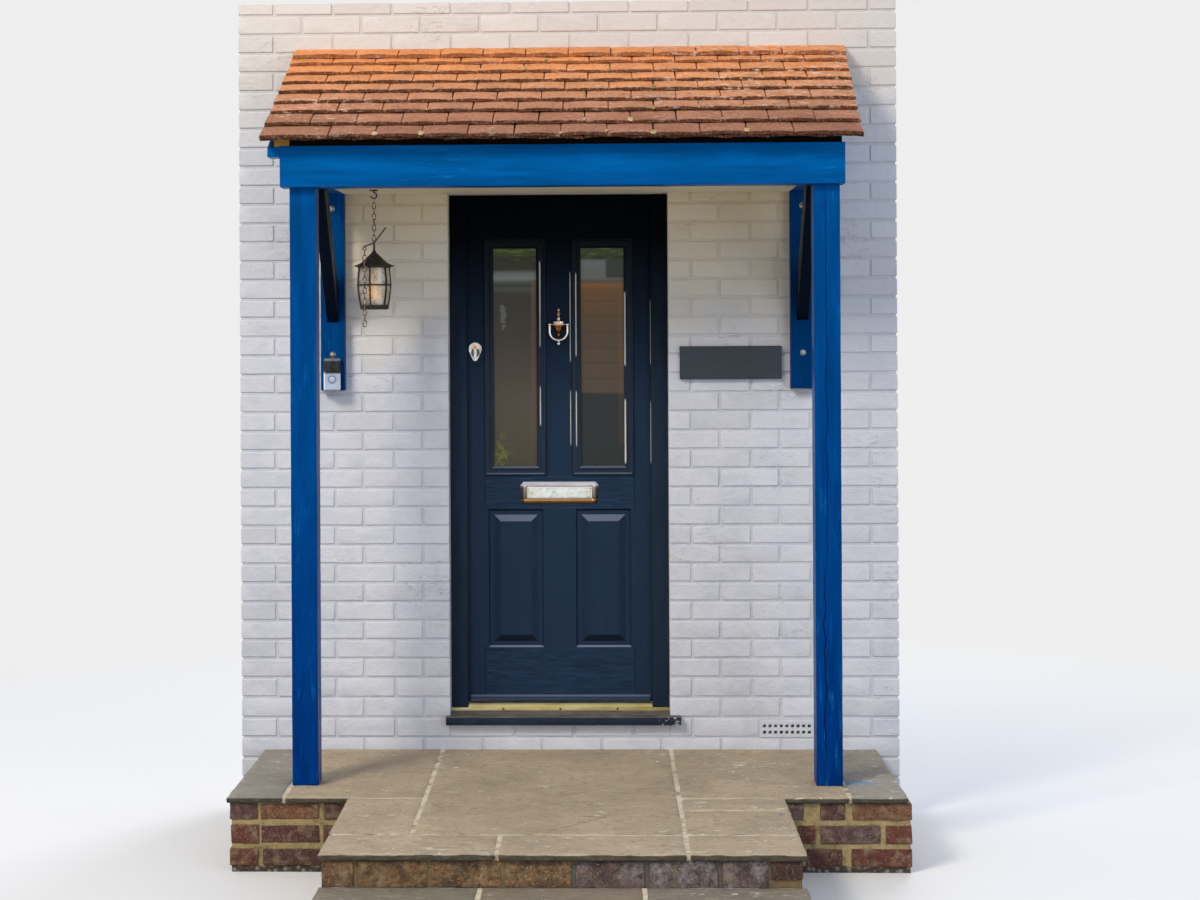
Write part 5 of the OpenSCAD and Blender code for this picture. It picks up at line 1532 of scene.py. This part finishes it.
class PORCH_OT_roof(bpy.types.Operator):
    """Lays every clay tile in lapped courses with tile-and-a-half verges"""

    bl_idname = "porch.roof"
    bl_label = "Roof tiles"

    def execute(self, context):
        roof = settings("roof")
        lift = roof.tile_thickness / roof.gauge
        low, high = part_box("roof_tiles")
        tail_top = roof.tile_thickness + roof.tile_length * lift
        up = Vector((0, math.cos(ROOF_PITCH), math.sin(ROOF_PITCH)))
        out = Vector((0, -math.sin(ROOF_PITCH), math.cos(ROOF_PITCH)))
        eave_top = self.eave_edge()
        origin = eave_top - out * tail_top
        half_width = (high.x - low.x) / 2
        slope_length = (FACE_Y - eave_top.y) / math.cos(ROOF_PITCH)
        tile_pitch = ROOF_PITCH - math.atan(lift)
        chance = random.Random(21)
        points = []
        full = tail_top - roof.tile_thickness
        eave_start, eave_share = 0.010, 0.7
        tails = (0.002, 0.117, 0.237, 0.333, 0.436, 0.531, 0.627, 0.727)
        top_start, top_share, top_thickness = slope_length - 0.104, 0.39, 1.5
        rows = [(eave_start, full - roof.tile_thickness, eave_share, 1.0)]
        rows += [(start, full, min(1.0, (slope_length - start) / roof.tile_length), 1.0) for start in tails]
        rows.append((top_start, full + 0.004, top_share, top_thickness))
        drift, first_shift, loose = 0.022, -0.009, 0.008
        for number, (start, height, share, thick) in enumerate(rows):
            verge = number % 2 == 1
            widths = [1.5, *[1.0] * 10, 1.5] if verge else [1.0] * 13
            x = -half_width
            for factor in widths:
                wide = factor * roof.tile_width
                tail_place = start + chance.uniform(0.0, 0.006)
                place = origin + up * tail_place + out * (height + chance.uniform(0, 0.002))
                across = x + wide / 2 + chance.uniform(-0.0008, 0.0008)
                place.x = across + drift * start / slope_length + first_shift
                turn = (
                    tile_pitch + chance.uniform(-loose, loose / 2), chance.uniform(-loose, loose),
                    chance.uniform(-loose, loose),
                )
                # The eave course gets a tone below 0, which the clay darkens as painted shade.
                tone = chance.random() if number else -0.8
                points.append((place, (factor * 0.997, share, thick), turn, tone))
                x += wide
        unit = tile_unit(roof.tile_width - 0.002, roof.tile_length, roof.tile_thickness, roof.camber)
        lay(
            "roof_tile_courses", unit, points, clay(), "house", ["roof_tiles"],
            wear=0.005, wear_scale=70.0, seed=5,
        )
        self.grow_moss(points, unit_depth=roof.tile_thickness)
        self.hang_felt(low)
        return {"FINISHED"}

    def grow_moss(self, points, unit_depth):
        """Sets small cushions of moss and lichen where two tiles meet, mostly in the lower courses."""
        chance = random.Random(8)
        cushions = bmesh.new()
        for place, scale, turn, tone in points:
            if tone < 0 or abs(place.x) > 0.95 or chance.random() > 0.4 - 0.55 * (place.z - 2.65):
                continue
            edge = place + Vector((settings("roof").tile_width * scale[0] / 2, 0.0, 0.0))
            size_here = chance.uniform(0.005, 0.011)
            turned_to = Matrix.Rotation(ROOF_PITCH, 4, "X")
            middle = edge + turned_to @ Vector((0.0, chance.uniform(0.004, 0.02), unit_depth + 0.001))
            half_sizes = (chance.uniform(0.6, 1.5), chance.uniform(1.0, 2.2), 0.5)
            matrix = Matrix.Diagonal((*(size_here * share for share in half_sizes), 1.0))
            matrix = Matrix.Translation(middle) @ turned_to @ matrix
            bmesh.ops.create_icosphere(cushions, subdivisions=2, radius=1.0, matrix=matrix)
        wander(cushions, 0.0018, 120.0)
        piece("moss_cushions", cushions, moss(), "house", sharp=60.0)

    def hang_felt(self, tiles):
        """Hangs the felt's drip in front of the rafters' feet, from the tiles down to the beam's top, where
        it also stands in for the shade.
        """
        beam_low, beam_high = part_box("front_beam")
        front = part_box("rafters")[0].y - 0.003
        top = tiles.z + (front - tiles.y) * math.tan(ROOF_PITCH) + 0.006
        corner = (beam_low.x - 0.02, front - 0.002, beam_high.z - 0.005)
        felt = box_mesh(corner, (beam_high.x - 0.012, front, top))
        slice_along(felt, 0, 0.02)
        wander(felt, 0.001, 30.0)
        piece("eave_felt", felt, felt_and_painted_shade(), "house")

    def eave_edge(self):
        """Top front edge of the lowest tiles, on the middle of the roof."""
        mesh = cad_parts["roof_tiles"].data
        front = min(v.co.y for v in mesh.vertices)
        top = max((v.co for v in mesh.vertices if v.co.y < front + 0.02), key=lambda co: co.z)
        return Vector((0, top.y, top.z))


# Door


class PORCH_OT_door_frame(bpy.types.Operator):
    """Builds the jambs, head, sill and threshold"""

    bl_idname = "porch.door_frame"
    bl_label = "Door frame"

    def execute(self, context):
        paint = frame_paint()
        for node in ("door_jamb_left", "door_jamb_right", "door_head"):
            dress(node, node + "_frame", paint, "house", 0.0025)
        sill = round_edges(copied("door_sill"), 0.005, 3)
        slice_along(sill, 0, 0.03)
        wander(sill, 0.0008, 30.0)
        piece("sill", sill, sill_paint(), "house", ["door_sill"])
        dress("door_threshold", "threshold", threshold_metal(), "house", 0.0015)
        steel = metal("hinge_metal", "a9a7a2", 0.35)
        dress("frame_hinges", "hinges_on_frame", steel, "house", 0.0006, 1, 50.0)
        return {"FINISHED"}


class PORCH_OT_door(bpy.types.Operator):
    """Builds the door leaf with its wood grain, beads, glass and weather bar"""

    bl_idname = "porch.door"
    bl_label = "Door leaf"

    def execute(self, context):
        dress("door_leaf", "leaf", door_paint(), "door", 0.0014, sharp=4.0)
        gloss = bead_paint()
        dress("glazing_beads", "beads", gloss, "door", 0.0014)
        dress("weather_bar", "drip_bar", gloss, "door", 0.002)
        dress("door_glass", "panes", door_pane(), "door")
        steel = bpy.data.materials["hinge_metal"]
        dress("door_hinges", "hinges_on_door", steel, "door", 0.0006, 1, 50.0)
        return {"FINISHED"}


class PORCH_OT_door_fittings(bpy.types.Operator):
    """Builds the letterplate, flap, latch pull and knocker"""

    bl_idname = "porch.door_fittings"
    bl_label = "Door fittings"

    def execute(self, context):
        for node, name, body, width, finish, sharp in (
            ("letterplate", "letterplate_frame", "door", 0.002, plate_metal(), 21.0),
            ("letter_flap", "letterplate_flap", "letter_flap", 0.0008, flap_metal(), 21.0),
            ("latch_pull", "latch", "door", 0.0012, latch_metal(), 40.0),
            ("knocker_body", "knocker_urn", "door", 0.001, knocker_metal(), 40.0),
            ("knocker_ring", "knocker_striker", "knocker_ring", 0.0008,
             metal("chrome", "f0eeee", 0.08, 0.15, below="a08d76"), 40.0),
        ):
            dress(node, name, finish, body, width, 2, 40.0, sharp)
        return {"FINISHED"}


class PORCH_OT_doorbell(bpy.types.Operator):
    """Builds the doorbell and its push button"""

    bl_idname = "porch.doorbell"
    bl_label = "Doorbell"

    def execute(self, context):
        dress("doorbell", "bell_case", bell_finish(), "house", 0.003, 3)
        button = button_finish()
        dress("bell_button", "push_button", button, "bell_button", 0.0015, 2, 50.0, 40.0)
        return {"FINISHED"}


# Lantern


class PORCH_OT_lantern(bpy.types.Operator):
    """Builds the hanging lantern with its hook, chain, cage, glass and bulb"""

    bl_idname = "porch.lantern"
    bl_label = "Lantern"

    def execute(self, context):
        black = iron()
        for node, name, body, finish in (
            ("lantern_hook", "ceiling_hook", "house", black),
            ("lantern_chain", "chain", "lantern", chain_iron()),
            ("lantern_cap", "lantern_roof", "lantern", black),
            ("lantern_cage", "lantern_bars", "lantern", black),
        ):
            dress(node, name, finish, body, 0.0008, 1, 40.0, 40.0)
        dress("lantern_glass", "lantern_barrel", lantern_pane(), "lantern", sharp=40.0)
        dress("lantern_bulb", "bulb", bulb_glow(), "lantern", sharp=40.0)
        return {"FINISHED"}


# Stage


class PORCH_OT_stage(bpy.types.Operator):
    """Sets the floor, the lamps, the sky and the camera"""

    bl_idname = "porch.stage"
    bl_label = "Stage"

    def execute(self, context):
        scene = context.scene
        scene.view_settings.view_transform = "Standard"
        self.lay_floor()
        self.hang_lamps()
        self.light_sky(scene)
        self.place_camera(scene)
        return {"FINISHED"}

    def lay_floor(self):
        """A pale floor that keeps the object's shadow, lights it like paving, and fades into the backdrop."""
        tint = settings("stage").floor
        f = Finish("floor", roughness=0.9, specular_ior_level=0.1)
        rays = f.add("ShaderNodeLightPath").outputs
        seen = f.calc("MAXIMUM", rays["Is Camera Ray"], rays["Is Glossy Ray"])
        seen = f.calc("MAXIMUM", seen, rays["Is Transmission Ray"])
        pale = f.ramp(f.noise(0.6, 3.0), (0.3, shade(tint, 0.98)), (0.7, tint))
        f.base = f.blend(seen, shade(tint, 0.5), pale)
        away = f.vector("LENGTH", f.place, output="Value")
        backdrop = f.add("ShaderNodeEmission", {"Color": opaque(BACKDROP), "Strength": 1.0}).outputs[0]
        amount = f.times(seen, f.span(away, 2.2, 6.0))
        mixed = f.add("ShaderNodeMixShader", {0: amount, 1: f.shader.outputs[0], 2: backdrop}).outputs[0]
        f.tree.links.new(mixed, f.tree.nodes["Material Output"].inputs["Surface"])
        bm = bmesh.new()
        bmesh.ops.create_grid(bm, x_segments=1, y_segments=1, size=40.0)
        mesh = bpy.data.meshes.new("floor")
        bm.to_mesh(mesh)
        bm.free()
        mesh.materials.append(f.done())
        floor = bpy.data.objects.new("floor", mesh)
        bpy.context.scene.collection.objects.link(floor)

    def hang_lamps(self):
        """A soft key from the front left and above, and a wide cool fill from the right."""
        key = settings("stage").key
        for name, place, aim, side, power, tint in (
            ("key_lamp", (-6.0, -7.0, 9.0), (0.0, 0.5, 1.4), 3.0, key, "fff3e2"),
            ("fill_lamp", (6.5, -8.0, 3.0), (0.0, 0.5, 1.2), 5.0, key * 0.18, "dfe9ff"),
            ("back_lamp", (3.0, 8.0, 6.0), (0.0, 1.0, 1.5), 4.0, key * 0.4, "f4f6ff"),
        ):
            data = bpy.data.lights.new(name, "AREA")
            data.energy = power
            data.size = side
            data.color = linear(tint)
            lamp = bpy.data.objects.new(name, data)
            lamp.location = place
            lamp.rotation_euler = (Vector(aim) - Vector(place)).to_track_quat("-Z", "Y").to_euler()
            bpy.context.scene.collection.objects.link(lamp)

    def light_sky(self, scene):
        """A pale backdrop behind the object, and a plain soft sky that lights it."""
        world = bpy.data.worlds.new("sky")
        world.use_nodes = True
        scene.world = world
        add = functools.partial(add_node, world.node_tree)
        soft = world.node_tree.nodes["Background"]
        soft.inputs["Color"].default_value = opaque("e6eeff")
        soft.inputs["Strength"].default_value = settings("stage").sky
        plain = add("ShaderNodeBackground", {"Color": opaque(BACKDROP)}).outputs[0]
        rays = add("ShaderNodeLightPath").outputs
        seen = rays["Is Camera Ray"]
        for label in ("Is Transmission Ray", "Is Glossy Ray"):
            seen = add("ShaderNodeMath", {0: seen, 1: rays[label]}, operation="MAXIMUM").outputs[0]
        mixed = add("ShaderNodeMixShader", {0: seen, 1: soft.outputs[0], 2: plain}).outputs[0]
        world.node_tree.links.new(mixed, world.node_tree.nodes["World Output"].inputs["Surface"])

    def place_camera(self, scene):
        """Camera straight at the wall, its horizon above the middle of the frame."""
        sideways, distance, eye_height = 0.127, 8.26, 1.925
        level, roll, turn = 90.0, 0.3, 1.6
        data = bpy.data.cameras.new("camera")
        data.lens = settings("stage").lens
        data.sensor_width = 36.0
        data.shift_x = 0.0492
        data.shift_y = -0.10
        camera = bpy.data.objects.new("camera", data)
        camera.location = (sideways, FACE_Y - distance, eye_height)
        camera.rotation_euler = [math.radians(angle) for angle in (level, roll, turn)]
        scene.collection.objects.link(camera)
        scene.camera = camera


STEPS = (
    PORCH_OT_wall, PORCH_OT_wall_fittings, PORCH_OT_landing, PORCH_OT_timbers, PORCH_OT_roof,
    PORCH_OT_door_frame, PORCH_OT_door, PORCH_OT_door_fittings, PORCH_OT_doorbell, PORCH_OT_lantern,
    PORCH_OT_stage,
)


class PORCH_PT_panel(bpy.types.Panel):
    """Lists the porch's sizes, colours and building steps"""

    bl_idname = "PORCH_PT_panel"
    bl_label = "Entrance porch"
    bl_space_type = "VIEW_3D"
    bl_region_type = "UI"
    bl_category = "Porch"

    def draw(self, context):
        layout = self.layout
        for group in GROUPS:
            box = layout.box()
            box.label(text=group.capitalize())
            for label in GROUPS[group].__annotations__:
                box.prop(settings(group), label)
        for step in STEPS:
            layout.operator(step.bl_idname)


GROUPS = {
    "masonry": MasonrySettings, "timber": TimberSettings, "roof": RoofSettings, "door": DoorSettings,
    "lantern": LanternSettings, "stage": StageSettings,
}


def register():
    """Adds the settings, steps and panel to Blender."""
    for group, kind in GROUPS.items():
        bpy.utils.register_class(kind)
        setattr(bpy.types.Scene, "porch_" + group, bpy.props.PointerProperty(type=kind))
    for kind in (*STEPS, PORCH_PT_panel):
        bpy.utils.register_class(kind)


def unregister():
    """Takes the settings, steps and panel away again."""
    for kind in (PORCH_PT_panel, *reversed(STEPS)):
        bpy.utils.unregister_class(kind)
    for group, kind in GROUPS.items():
        delattr(bpy.types.Scene, "porch_" + group)
        bpy.utils.unregister_class(kind)


def main():
    """Builds everything in order."""
    register()
    for step in STEPS:
        area, name = step.bl_idname.split(".")
        getattr(getattr(bpy.ops, area), name)()


if __name__ == "__main__":
    main()
